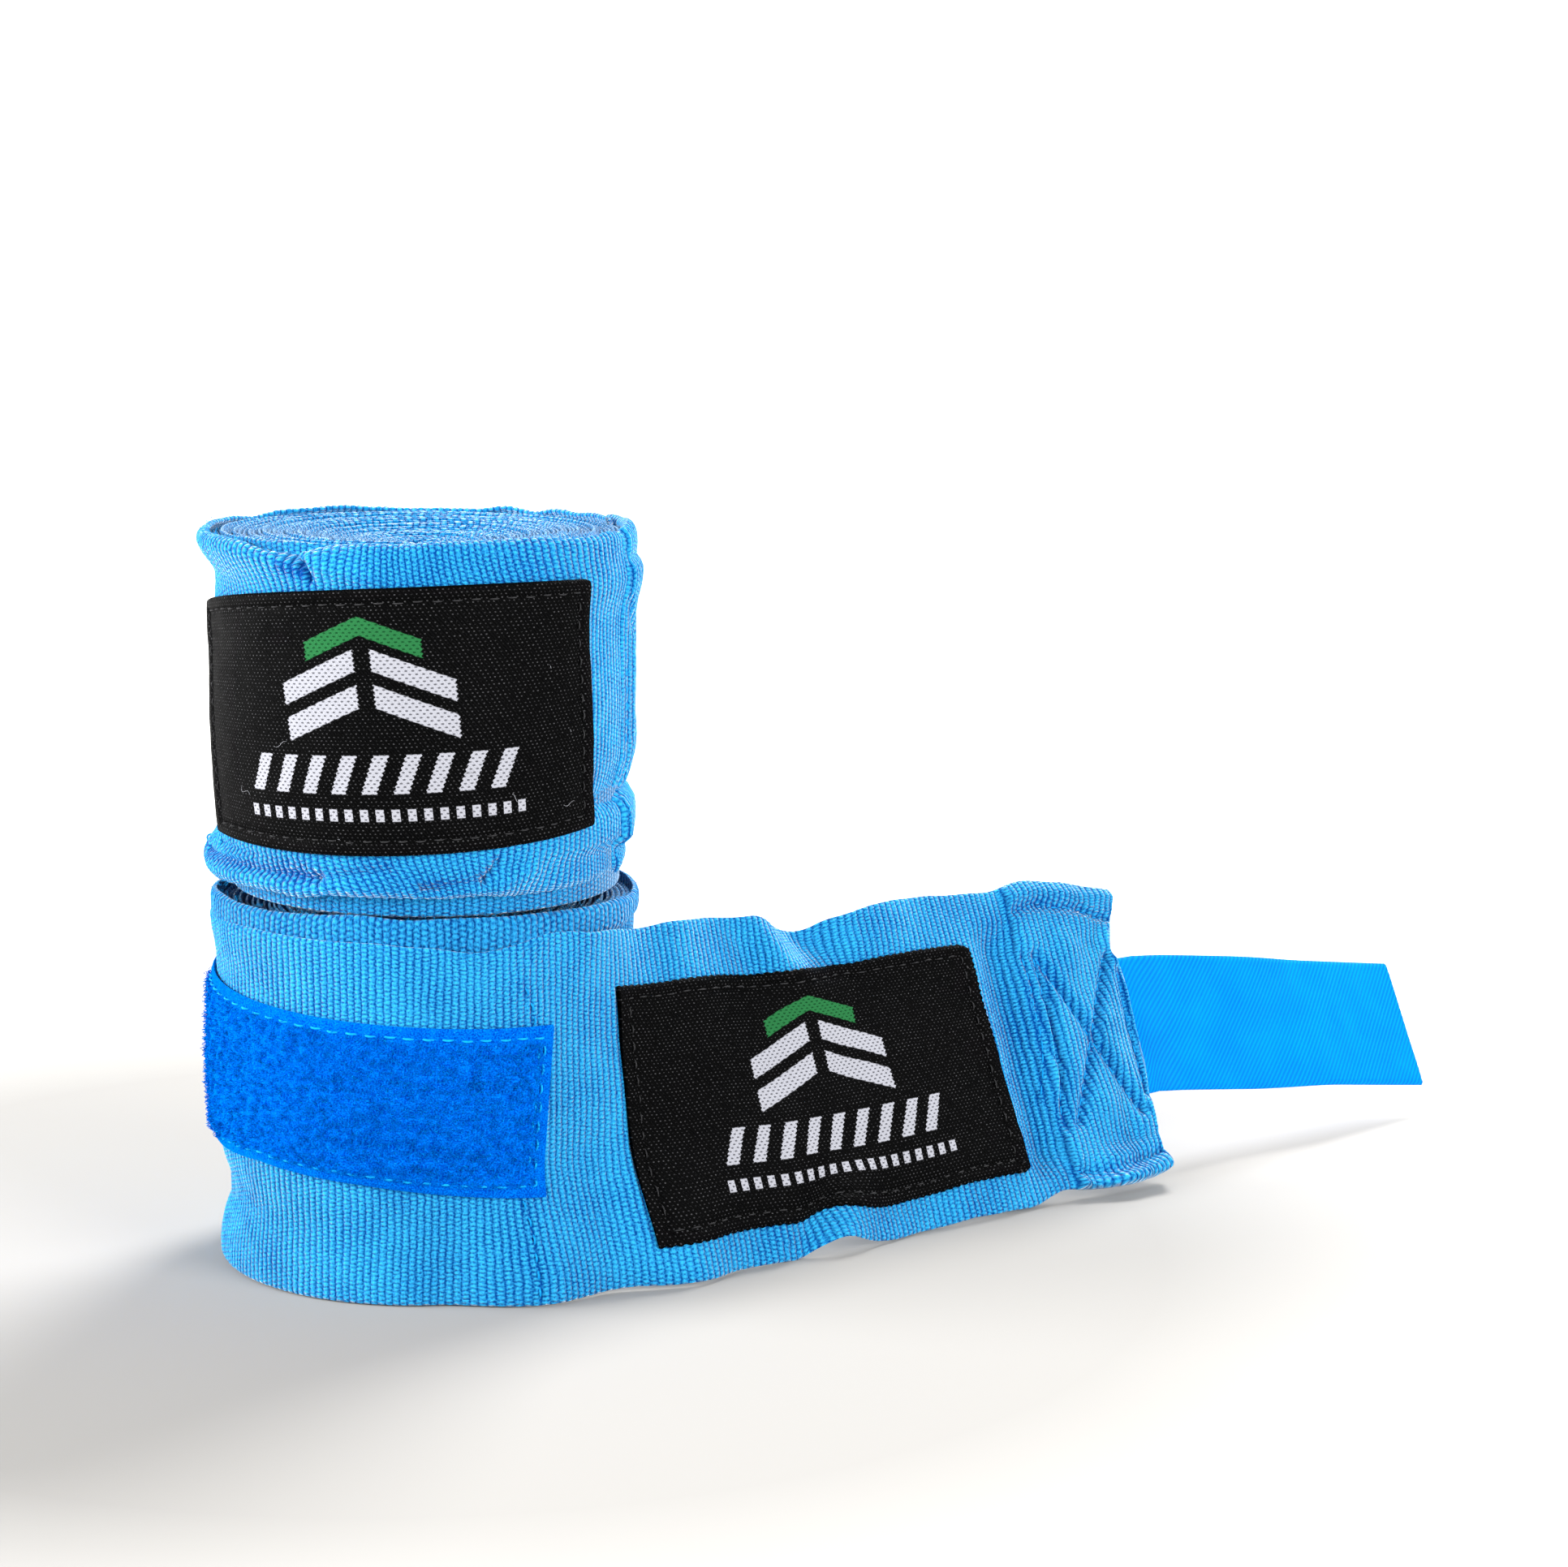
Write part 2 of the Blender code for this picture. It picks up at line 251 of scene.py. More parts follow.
class Strip:
    """A strip of cloth: grids of its two faces, with s and v at every point.

    Its relief stands out of the front and its under relief out of the back. The drift pulls the ribs along
    the band, the origin is where its pattern's centre lies, and painted_shade is the painted shade of its
    creases.
    """

    def __init__(
        self, s, v, place, thick, relief=None, under=None, origin=(0.0, 0.0), drift=None, painted_shade=None
    ):
        self.s, self.v = s, v
        grid_s, grid_v = np.meshgrid(s, v, indexing="ij")
        middle = place(grid_s, grid_v)
        out = grid_normals(middle)
        keep = rim(v)[None, :, None]
        half = thick / 2 * keep
        knit_s = grid_s if drift is None else grid_s + drift(grid_s, grid_v)
        raised = 0.0 if relief is None else relief(grid_s, grid_v, knit_s)[..., None] * keep
        sunk = 0.0 if under is None else under(grid_s, grid_v, knit_s)[..., None] * keep
        self.front = middle + out * (half + raised)
        self.back = middle - out * (half + sunk)
        # The painted shade of the creases, carried as the third part of the cloth attribute
        shade = np.zeros_like(grid_s) if painted_shade is None else painted_shade(grid_s, grid_v)
        self.cloth = np.stack([knit_s - origin[0], grid_v - origin[1], shade], -1)
        self.front_normals = grid_normals(self.front)
        self.back_normals = -grid_normals(self.back)

    def piece(self, name, material, start=None, end=None, every=1):
        """The part of the strip between two distances along it, or all of it."""
        low = 0 if start is None else int(np.argmin(np.abs(self.s - start)))
        high = len(self.s) if end is None else int(np.argmin(np.abs(self.s - end))) + 1
        cut = slice(low, high)
        normals = (self.front_normals[cut], self.back_normals[cut])
        return shell(name, self.front[cut], self.back[cut], self.cloth[cut], material, every, normals)


# ---- Materials ----


class Value:
    """A number worked out by a material's nodes, which takes ordinary arithmetic."""

    def __init__(self, nodes, socket):
        self.nodes, self.socket = nodes, socket

    def __add__(self, other):
        return self.nodes.math("ADD", self, other)

    def __sub__(self, other):
        return self.nodes.math("SUBTRACT", self, other)

    def __rsub__(self, other):
        return self.nodes.math("SUBTRACT", other, self)

    def __mul__(self, other):
        return self.nodes.math("MULTIPLY", self, other)

    def __truediv__(self, other):
        return self.nodes.math("DIVIDE", self, other)

    def __pow__(self, other):
        return self.nodes.math("POWER", self, other)

    def __abs__(self):
        return self.nodes.math("ABSOLUTE", self)

    def __floor__(self):
        return self.nodes.math("FLOOR", self)

    def clamped(self):
        return self.nodes.math("ADD", self, 0.0, clamp=True)

    def swing(self, reach):
        """A value about 0.5 made one about 0, reaching half as far as given each way."""
        return (self - 0.5) * reach

    def wave(self, pitch, phase=0.0):
        """A sine along a distance, from 0 to 1."""
        return self.nodes.math("SINE", self * (2 * math.pi / pitch) + phase) * 0.5 + 0.5

    def within(self, low, high, soft=0.12):
        """1 between two values and 0 outside them, with a short soft edge."""
        return ((self - low) / soft).clamped() * ((high - self) / soft).clamped()

    def ramp(self, low, high):
        """0 up to a low value, 1 from a high one, and straight in between."""
        return ((self - low) * (1.0 / (high - low))).clamped()


class Nodes:
    """Short calls for building a material's nodes."""

    def __init__(self, name, roughness, **settings):
        self.material = bpy.data.materials.new(name)
        self.material.use_nodes = True
        self.tree = self.material.node_tree
        self.shader = self.tree.nodes["Principled BSDF"]
        self.shader.inputs["Roughness"].default_value = roughness
        for socket, value in settings.items():
            self.shader.inputs[socket.replace("_", " ")].default_value = value

    def node(self, kind, **inputs):
        made = self.tree.nodes.new(kind)
        for socket, value in inputs.items():
            self.feed(made.inputs[socket.replace("_", " ")], value)
        return made

    def feed(self, socket, value):
        value = value.socket if isinstance(value, Value) else value
        if isinstance(value, bpy.types.NodeSocket):
            self.tree.links.new(value, socket)
        else:
            socket.default_value = value

    def math(self, operation, *values, clamp=False):
        made = self.tree.nodes.new("ShaderNodeMath")
        made.operation = operation
        made.use_clamp = clamp
        for socket, value in zip(made.inputs, values):
            self.feed(socket, value)
        return Value(self, made.outputs[0])

    def cloth(self):
        """The s and v of the cloth, both as one vector, and the painted shade of its creases."""
        read = self.tree.nodes.new("ShaderNodeAttribute")
        read.attribute_name = "cloth"
        parts = self.node("ShaderNodeSeparateXYZ", Vector=read.outputs["Vector"])
        s, v, painted_shade = (Value(self, part) for part in parts.outputs)
        return s, v, self.node("ShaderNodeCombineXYZ", X=s, Y=v).outputs[0], painted_shade

    def noise(self, vector, scale, detail=2.0):
        made = self.node("ShaderNodeTexNoise", Vector=vector, Scale=scale, Detail=detail)
        return Value(self, made.outputs["Fac"])

    def mix(self, factor, a, b):
        made = self.tree.nodes.new("ShaderNodeMix")
        made.data_type = "RGBA"
        for socket, value in ((0, factor), (6, a), (7, b)):
            self.feed(made.inputs[socket], value)
        return made.outputs[2]

    def finish(self, colour, height, depth, strength):
        """Sets the colour, and the bump from a height."""
        self.feed(self.shader.inputs["Base Color"], colour)
        bumped = self.node("ShaderNodeBump", Height=height, Strength=strength, Distance=depth)
        self.feed(self.shader.inputs["Normal"], bumped.outputs[0])
        return self.material


def rgb(red, green, blue):
    return (red, green, blue, 1.0)


def band_material(name, light, deep, shade=0.0):
    """Ribbed elastic cotton: rows of small stitches on each rib, a soft nap, a slight mottle and painted
    shade and highlight.
    """
    n = Nodes(name, 0.95, Specular_IOR_Level=0.015, Sheen_Weight=0.9, Sheen_Roughness=0.30)
    n.shader.inputs["Sheen Tint"].default_value = rgb(0.8, 0.9, 1.0)
    s, v, cloth, painted_shade = n.cloth()
    along = (s + n.noise(cloth, 0.35).swing(0.5)) / RIB_PITCH
    ridge = abs(n.math("SINE", along * math.pi))
    odd = math.floor(along) * math.pi
    stitch = v.wave(0.61, odd + n.noise(cloth, 1.3) * 2.2)
    # Painted shade and highlight: the colour is lighter on the rib tops and stitch knots and deeper between
    # the ribs
    knot = ridge**0.9 * (stitch**0.7 * 0.68 + 0.32)
    fine = n.noise(cloth, 3.6, 3.0)
    broad = n.noise(cloth, 0.12)
    # The painted shade carried by the cloth darkens its creases
    tone = knot * 0.85 + ridge * 0.05 + fine.swing(2.1) + broad.swing(0.5) - painted_shade * 0.75
    # shade darkens the whole material, as painted shade for the inner turns
    tone = (tone + (0.06 - shade)).clamped()
    return n.finish(n.mix(tone, deep, light), knot * 0.6 + fine * 0.6, 0.0004, 0.9)


def pile_material(name, light, deep):
    """Napped loops: clumps and fine tufts, with a painted sparkle of highlight on their tips."""
    n = Nodes(name, 0.6, Specular_IOR_Level=0.0, Sheen_Weight=0.7, Sheen_Roughness=0.35)
    n.shader.inputs["Sheen Tint"].default_value = rgb(0.0, 0.6, 1.0)
    s, v, cloth, painted_shade = n.cloth()
    fine = n.noise(cloth, 4.0, 3.0)
    tone = ((n.noise(cloth, 0.7) - 0.1) * 0.9 + fine.swing(2.6)).clamped()
    # Painted highlight: a scattered sparkle of pale cyan on the pile
    painted_sparkle = n.noise(cloth, 5.0).ramp(0.66, 0.74) * 0.5
    colour = n.mix(painted_sparkle, n.mix(tone, deep, light), rgb(0.03, 0.50, 1.0))
    return n.finish(colour, fine, 0.0003, 0.7)


def tape_material(name, light, deep):
    """Smooth woven tape with a faint diagonal twill."""
    n = Nodes(name, 0.5, Specular_IOR_Level=0.02)
    s, v, cloth, painted_shade = n.cloth()
    line = (s + v * -0.85).wave(0.9)
    fine = n.noise(cloth, 2.2, 3.0)
    tone = (line * 0.75 + fine * 0.30 + n.noise(cloth, 0.15, 1.0).swing(0.5)).clamped()
    return n.finish(n.mix(tone, deep, light), line * 0.6 + fine * 0.4, 0.0001, 0.45)


def thread_material(name, colour, deep):
    n = Nodes(name, 0.5, Specular_IOR_Level=0.05)
    where = n.tree.nodes.new("ShaderNodeTexCoord").outputs["Object"]
    tone = n.noise(where, 1600.0, 1.0)
    return n.finish(n.mix(tone, deep, colour), tone, 0.00005, 0.5)


BLACK = rgb(0.0012, 0.0012, 0.0013)
# The colour of the painted glints on the black label's weave
PAINTED_GLINT = rgb(0.085, 0.085, 0.09)
WHITE = rgb(0.35, 0.355, 0.395)
WHITE_PIN = rgb(0.05, 0.05, 0.06)
GREEN = rgb(0.018, 0.128, 0.04)
GREEN_PIN = rgb(0.002, 0.03, 0.008)
# The label's pattern, from its centre: the chevrons, then a row of slanted bars and one of dashes
MOTIF_RISE = 7.0
MOTIF_HALF = 12.0
BAR_ROW, BAR_PITCH = -6.6, 4.4
DASH_ROW, DASH_PITCH = -12.1, 2.2
WEAVE_ROW = 0.47


def marks(along, side, pitch, reach, least, soft):
    """A row of marks, one every pitch, out to a number of pitches on both sides."""
    return along.wave(pitch, math.pi / 2).within(least, 2.0, soft) * side.within(-1.0, pitch * reach)


def label_material(name):
    """Black satin with fine twill and painted glints on its weave, and a woven pattern of chevrons, bars
    and dashes.
    """
    n = Nodes(name, 0.5, Specular_IOR_Level=0.012)
    s, v, cloth, painted_shade = n.cloth()
    row = math.floor(v / WEAVE_ROW)
    across = v.wave(WEAVE_ROW)
    twill = (s + v * 0.8).wave(0.46)
    dot = s.wave(0.70, row * 2.1) * across
    # Painted highlight: glints scattered over the weave's dots, and faintly along the twill lines
    painted_glint = dot.ramp(0.55, 0.95) * n.noise(cloth, 2.6).ramp(0.42, 0.64)
    ground = n.mix(painted_glint * 0.8, BLACK, PAINTED_GLINT)
    ground = n.mix(twill.ramp(0.75, 1.0) * 0.02, ground, PAINTED_GLINT)
    ragged = v.wave(0.60).swing(0.22)
    side = abs(s) + ragged
    slope = v - MOTIF_RISE + side * 0.40
    leaf = slope.within(4.4, 7.0) * side.within(-1.0, 8.0)
    chevrons = (slope.within(0.2, 3.2) + slope.within(-4.6, -1.4)) * side.within(1.1, MOTIF_HALF)
    slanted = s + ((v - BAR_ROW) * -0.45 + ragged)
    bars = marks(slanted, abs(slanted), BAR_PITCH, 4.5, 0.52, 0.05) * v.within(BAR_ROW - 2.7, BAR_ROW + 2.5)
    dashes = marks(s, side, DASH_PITCH, 9.5, 0.42, 0.08) * v.within(DASH_ROW - 0.8, DASH_ROW + 0.9)
    white = (chevrons + bars + dashes).clamped()
    pin = (s.wave(0.90, row * math.pi) * across).ramp(0.40, 0.75)
    colour = n.mix(white, ground, n.mix(pin * 0.85, WHITE, WHITE_PIN))
    colour = n.mix(leaf, colour, n.mix(pin * 0.75, GREEN, GREEN_PIN))
    raised = n.math("MAXIMUM", white, leaf) * 0.6 + twill * 0.5 - pin * 0.5
    return n.finish(colour, raised, 0.00012, 0.7)


BAND = band_material("ribbed_band", rgb(0.030, 0.42, 0.80), rgb(0.0, 0.05, 0.25))
# A darker copy of the band for the inner turns and the thumb loops: painted shade
BAND_INNER_SHADED = band_material("ribbed_band_inner_shaded", rgb(0.024, 0.34, 0.69), rgb(0.0, 0.038, 0.19), 0.02)
PILE = pile_material("loop_pile", rgb(0.0, 0.20, 0.82), rgb(0.0, 0.045, 0.38))
TAPE = tape_material("hook_tape", rgb(0.0, 0.24, 0.70), rgb(0.0, 0.125, 0.46))
HOOKS = tape_material("hook_tape_hooks", rgb(0.0, 0.20, 0.64), rgb(0.0, 0.13, 0.50))
LABEL = label_material("woven_label")
THREAD = thread_material("blue_thread", rgb(0.005, 0.42, 0.84), rgb(0.0, 0.22, 0.60))
BAND_THREAD = thread_material("band_thread", rgb(0.01, 0.36, 0.76), rgb(0.0, 0.18, 0.52))
BLACK_THREAD = thread_material("black_thread", rgb(0.045, 0.045, 0.047), rgb(0.010, 0.010, 0.011))
LINT = thread_material("lint", rgb(0.35, 0.36, 0.38), rgb(0.15, 0.15, 0.17))


# ---- Threads ----


def tube_parts(paths, radius, sides=5, taper=1.6):
    """Points and faces of many equal short threads, each narrowing to both of its ends."""
    paths = np.asarray(paths, float)
    count, steps = paths.shape[:2]
    tangent = unit(np.gradient(paths, axis=1))
    side = unit(np.cross(tangent, np.array([0.58, 0.55, -0.60])))
    across = np.cross(tangent, side)
    near = np.minimum(np.arange(steps), np.arange(steps)[::-1]) / (0.5 * (steps - 1))
    width = radius * (0.35 + 0.65 * np.sqrt(np.clip(near * taper, 0.0, 1.0)))
    turn = 2 * math.pi * np.arange(sides) / sides
    ring = np.cos(turn)[:, None] * side[:, :, None] + np.sin(turn)[:, None] * across[:, :, None]
    points = paths[:, :, None] + width[None, :, None, None] * ring
    c, j, k = np.meshgrid(np.arange(count), np.arange(steps - 1), np.arange(sides), indexing="ij")
    first = (c * steps + j) * sides
    a, b = first + k, first + (k + 1) % sides
    faces = np.stack([a, b, b + sides, a + sides], -1).reshape(-1, 4).tolist()
    for c in range(count):
        start, end = c * steps * sides, ((c + 1) * steps - 1) * sides
        faces.append([start + k for k in range(sides)][::-1])
        faces.append([end + k for k in range(sides)])
    return points.reshape(-1, 3), faces


def tubes(name, paths, radius, material, sides):
    points, faces = tube_parts(paths, radius, sides)
    return new_object(name, points, faces, material)


def over(place, lift):
    """The same surface, raised along its normal."""

    def raised(s, v):
        step = 0.2
        along = place(s + step, v) - place(s - step, v)
        upward = place(s, v + step) - place(s, v - step)
        return place(s, v) + unit(np.cross(along, upward)) * np.asarray(lift)[..., None]

    return raised


STITCH_POINTS = 6
# Kinds of stitching: how far a stitch rises from the surface it is sewn to, how deep its ends are below
# that surface, and its thread's radius, material and number of sides
PATCH_SEWING = (0.62, 0.05, 0.17, THREAD, 5)
SEAM_SEWING = (0.72, 0.05, 0.16, BAND_THREAD, 5)
BOX_SEWING = (0.10, 0.10, 0.16, BAND_THREAD, 5)
HEM_SEWING = (0.10, 0.10, 0.14, BAND_THREAD, 5)
LABEL_SEWING = (0.34, -0.06, 0.13, BLACK_THREAD, 4)


def stitch_line(corners, length=1.5, gap=0.8):
    """The (s, v) paths of the stitches along a line of points on the cloth."""
    corners = np.array(corners, float)
    reach = np.concatenate([[0.0], np.cumsum(np.linalg.norm(np.diff(corners, axis=0), axis=1))])
    made = []
    start = gap / 2
    while start + length <= reach[-1]:
        spots = start + length * np.linspace(0.0, 1.0, STITCH_POINTS)
        made.append(np.stack([np.interp(spots, reach, corners[:, k]) for k in (0, 1)], -1))
        start += length + gap
    return np.array(made)


def sewn(place, paths, rise, sink):
    """Stitches as thread paths that rise out of the cloth and go back into it."""
    sway = RNG.normal(0.0, 0.05, (len(paths), 1, 2))
    spots = paths + sway
    lift = rise * np.sin(np.linspace(0.0, math.pi, STITCH_POINTS)) - sink
    return over(place, np.broadcast_to(lift, spots.shape[:2]))(spots[..., 0], spots[..., 1])


def stitching(name, place, paths, kind):
    """Stitches along paths on a surface, as one piece."""
    rise, sink, radius, material, sides = kind
    return tubes(name, sewn(place, paths, rise, sink), radius, material, sides)


def loose_ends(name, place, spots, length, radius, material, stand=1.1):
    """Short thread ends that stand out of the cloth and curl."""
    paths = []
    t = np.linspace(0.0, 1.0, 9)[:, None]
    for s, v in spots:
        spot = np.array([s]), np.array([v])
        base = place(*spot)[0]
        out = over(place, 1.0)(*spot)[0] - base
        way = unit(RNG.normal(0.0, 1.0, 3) + stand * out)
        curl, twist = RNG.normal(0.0, 0.5, 3), RNG.normal(0.0, 0.5, 3)
        reach = length * RNG.uniform(0.5, 1.0)
        paths.append(base + 0.2 * out + reach * (way * t + curl * t**2 + twist * np.sin(6.0 * t) * t))
    return tubes(name, np.array(paths), radius, material, 4)


def lint(name, place, low, high, count):
    """Pale hairs lying on a face of cloth between two corners."""
    spots = RNG.uniform(low, high, (count, 2))
    return loose_ends(name, over(place, 0.42), spots, 1.5, 0.035, LINT, 0.0)


# ---- The rolls ----


# The section of a wound turn, point by point: its side of the turn's middle, from -1 to 1, the end of the
# band it is measured from, and its height from there. Above the neck a turn can spread.
TURN_SECTION = (
    (1.0, "low", 0.35), (1.0, "neck", -4.5), (1.0, "high", -0.35), (0.65, "high", -0.10),
    (0.0, "high", 0.0), (-0.65, "high", -0.10), (-1.0, "high", -0.35), (-1.0, "neck", -4.5),
    (-1.0, "low", 0.35), (-0.65, "low", 0.10), (0.0, "low", 0.0), (0.65, "low", 0.10),
)
CORE_RADIUS = 2.4
TURN_STEP = 1.15


def wound_turns(name, outer, length, top, bottom, spread, seed):
    """The wound turns of a roll as one long spiral strip of closed section, able to spread at its top."""
    pitch = math.pi * (outer**2 - CORE_RADIUS**2) / length
    count = int(length / TURN_STEP)
    travelled = np.linspace(0.0, length, count)
    radius = np.sqrt(CORE_RADIUS**2 + travelled * pitch / math.pi)
    angle = np.degrees(2 * math.pi * (radius - CORE_RADIUS) / pitch)
    turn = angle / 360.0
    half = pitch * 0.44
    sway = 0.10 * noise(angle / 40.0, radius * 0.35, seed)
    high = top(radius, angle) + 0.32 * noise(turn * 1.7, angle / 260.0, seed + 1)
    high = high + 0.12 * noise(angle / 7.0, turn, seed + 2)
    low = bottom(radius, angle) + 0.30 * noise(turn * 1.9 + 9.0, angle / 240.0, seed + 1)
    splay = spread(radius, angle)
    rings = []
    coords = []
    for side, end, rise in TURN_SECTION:
        z = (low if end == "low" else high) + rise
        rings.append(on_roll(radius + sway + side * half + (splay if end == "high" else 0.0), angle, z))
        coords.append(np.stack([travelled, z], -1))
    loop = len(TURN_SECTION)
    points = np.stack(rings, 1).reshape(-1, 3)
    cloth = np.stack(coords, 1).reshape(-1, 2)
    i, k = np.meshgrid(np.arange(count - 1), np.arange(loop), indexing="ij")
    a, b = i * loop + k, i * loop + (k + 1) % loop
    faces = np.stack([a, a + loop, b + loop, b], -1).reshape(-1, 4).tolist()
    faces.append(list(range(loop)))
    faces.append([(count - 1) * loop + k for k in range(loop)][::-1])
    return new_object(name, points, faces, BAND_INNER_SHADED, cloth)


def thumb_loop(name, low, high):
    """The folded webbing loop at the core: a flattened ring of band rolled on itself."""
    count, m = 40, 12
    angle = np.linspace(0.0, 2 * math.pi, count, endpoint=False)
    loop = np.stack([2.1 * np.cos(angle), 1.45 * np.sin(angle) + 0.25 * np.cos(2 * angle)], -1)
    heights = np.linspace(low, high, m)
    bulge = np.sqrt(np.clip(1 - (np.linspace(-1, 1, m) ** 2) ** 6, 0.15, 1))
    points, coords = [], []
    for z, b in zip(heights, bulge):
        for (x, y), a in zip(loop, angle):
            points.append((x * b, y * b, z))
            coords.append((a * 3.0, z))
    faces = []
    for j in range(m - 1):
        for k in range(count):
            a, b = j * count + k, j * count + (k + 1) % count
            faces.append([a, b, b + count, a + count])
    faces.append(list(range(count))[::-1])
    faces.append([(m - 1) * count + k for k in range(count)])
    return new_object(name, np.array(points), faces, BAND_INNER_SHADED, np.array(coords))


def lean_at(s):
    """How far the tail leans back at a distance along it, in radians."""
    first = smooth((s - BENDS[0][0]) / (2 * LEAN_REACH))
    second = smooth((s - BENDS[1][0]) / (2 * LEAN_REACH))
    tip = smooth((s - BENDS[6][0]) / (BENDS[6][1] - BENDS[6][0]))
    return np.radians(LEANS[0] * first + LEANS[1] * second + TIP_LEAN * tip)


def tail_middle(s):
    """The height of the tail's middle line: its lower edge stays near the ground as it leans."""
    return BAND_WIDTH / 2 * np.cos(lean_at(np.minimum(s, 100.0))) + 0.2 + 0.65 * smooth(s / 14.0)


def profile(x, points):
    """A soft line through a few given points."""
    places, values = zip(*points)
    x = np.asarray(x, float)
    return sum(np.interp(x + shift, places, values) for shift in (-1.2, -0.4, 0.4, 1.2)) / 4


# The tail's two long edges: distance along it, and height from the edge of a straight band
TOP_LINE = (
    (0, -0.3), (6, -0.6), (12, -1.3), (18, -1.8), (26, -1.3), (34, -0.8), (42, -0.9), (46.5, -2.5),
    (53, -3.9), (57, -2.8), (65, -1.7), (80, -1.9), (88, -2.6), (93, -1.7), (103, -3.0), (108, -4.1),
    (113, -5.3),
)
BOTTOM_LINE = (
    (0, 0), (33, -0.5), (38, -0.4), (41, 0.9), (45, 1.7), (48, 0.4), (50.5, -0.4), (54, -0.5), (77, -0.2),
    (82, -0.4), (88, 1.1), (95, -0.4), (101, -0.5), (107, -0.3), (113, 0.6),
)
# The folded end's border, up the band: height, and distance along it
END_LINE = (
    (-27, 106.4), (-24, 107.8), (-16.5, 108.7), (-9.5, 109.8), (-1.5, 110.1), (4.5, 110.4), (9.5, 109.7),
    (12, 108.3), (14.2, 108.7), (17, 110.4), (20, 111.2), (25, 111.0),
)


def top_edge(s):
    """How far the tail's upper edge stands above or below the straight band."""
    return profile(s, TOP_LINE) + 0.2 * noise(s / 5.0, 0.0, 3)


def bottom_edge(s):
    return profile(s, BOTTOM_LINE) + 0.2 * noise(s / 5.0, 4.0, 3)


def end_pull(s, v):
    """How far the folded end's border, which isn't straight, is drawn back towards the roll."""
    return (TAIL_END - profile(v, END_LINE)) * smooth((s - 97.0) / (TAIL_END - 97.0))


def skirt(s, v):
    """How far the band's lower edge flares out where the tail leaves the roll."""
    return 5.5 * smooth((-v - 5.0) / 20.0) * smooth((s + 16.0) / 16.0) * smooth((36.0 - s) / 22.0)


def tail_bulge(s, v):
    """How far the tail's cloth stands out of its plane: tucks, waves and the puckers beside the label."""
    high, low = smooth((v - 8.0) / 14.0), smooth((-10.0 - v) / 12.0)
    tuck = 2.6 * bump(s + 0.55 * (v - 20.0), 44.0, 4.2) - 2.4 * bump(s + 0.6 * (v - 20.0), 53.5, 4.5)
    tuck = tuck * high + 1.1 * bump(s, 66.0, 8.0) * high
    under = 1.8 * bump(s - 0.5 * (v + 22.0), 47.0, 4.0) - 1.5 * bump(s - 0.5 * (v + 22.0), 40.0, 4.0)
    under = under * low - 0.8 * bump(s, 62.0, 6.0) * low
    valley = -2.3 * bump(s, 86.0, 3.1) * smooth((22.0 - np.abs(v + 2.0)) / 6.0)
    valley = valley + 0.7 * bump(s, 90.0, 1.5) * smooth((13.0 - np.abs(v)) / 6.0)
    waves = 0.35 * noise(s / 9.0, v / 14.0, 4) + 0.18 * noise(s / 4.0, v / 7.0, 5)
    settle = smooth((s - 2.0) / 10.0)
    lip = 2.4 * smooth((-18.5 - v) / 6.5) * smooth((s - 91.0) / 6.0)
    return (tuck + under + valley + waves) * settle + lip


def lower_turn_radius(s, z):
    """The lower wrap's outer turn, flared at its two edges and waisted near the ground on the left."""
    degrees = YAW + np.degrees(s / MID_RADIUS)
    left = bump(degrees, -95.0, 50.0)
    base = MID_RADIUS + 0.2 * bump(degrees, -80.0, 60.0)
    base = base - 1.1 * smooth((-s - 148.0) / 30.0)
    base = base + 0.35 * bump(z, 30.0, 7.0) * left
    waist = -1.7 * bump(z, 10.5, 4.0) * left
    flare = 0.9 * bump(z, 49.0, 3.5) * left + 0.2 * bump(z, 1.0, 4.0) * left
    wave = 0.22 * noise(degrees / 24.0, z / 11.0, 6)
    return base + waist + flare + wave


def lower_edge(s):
    """The outer turn's upper edge round the roll."""
    degrees = YAW + np.degrees(s / MID_RADIUS)
    dip = -1.3 * bump(degrees, 20.0, 14.0) + 0.6 * bump(degrees, 44.0, 7.0)
    dip = dip - 1.0 * bump(degrees, -95.0, 25.0)
    return dip + 0.25 * noise(degrees / 9.0, 2.0, 7)


def band_place(s, v):
    """The lower band: round the roll where s is below 0, then the leaning tail out to the folded end."""
    share = np.clip(v / 25.0, -1.0, 1.0)
    lift = np.where(v > 0, share**2, 0.0)
    fall = np.where(v < 0, share**2, 0.0)
    out = smooth(s / 8.0)
    height = (1 - out) * lower_edge(s) + out * top_edge(s)
    z_roll = BAND_WIDTH / 2 + 0.2 + v + lift * lower_edge(s)
    degrees = YAW + np.degrees(np.minimum(s, 0.0) / MID_RADIUS)
    roll = on_roll(lower_turn_radius(s, z_roll) + skirt(s, v), degrees, z_roll)
    lean = lean_at(s)[..., None]
    up = np.cos(lean) * UP - np.sin(lean) * OUTWARD
    out_of = np.cos(lean) * OUTWARD + np.sin(lean) * UP
    v_tail = v + lift * height + fall * bottom_edge(s) * out
    edge = MID_RADIUS - lower_turn_radius(np.minimum(s, 0.0), z_roll)
    run = s - end_pull(s, v)
    tail = (MID_RADIUS - edge * (1 - smooth(s / 10.0)))[..., None] * OUTWARD + run[..., None] * ALONG
    tail = tail + tail_middle(s)[..., None] * UP + v_tail[..., None] * up
    tail = tail + tail_bulge(s, v)[..., None] * out_of + skirt(s, v)[..., None] * OUTWARD
    return np.where((s < 0.0)[..., None], roll, tail)


def band_relief(s, v, knit_s):
    """The ribs, as a height below the band's outermost surface."""
    return RIB_DEPTH * (ribs(knit_s) - 1.0) + 0.05 * noise(s * 1.2, v * 1.2, 8)


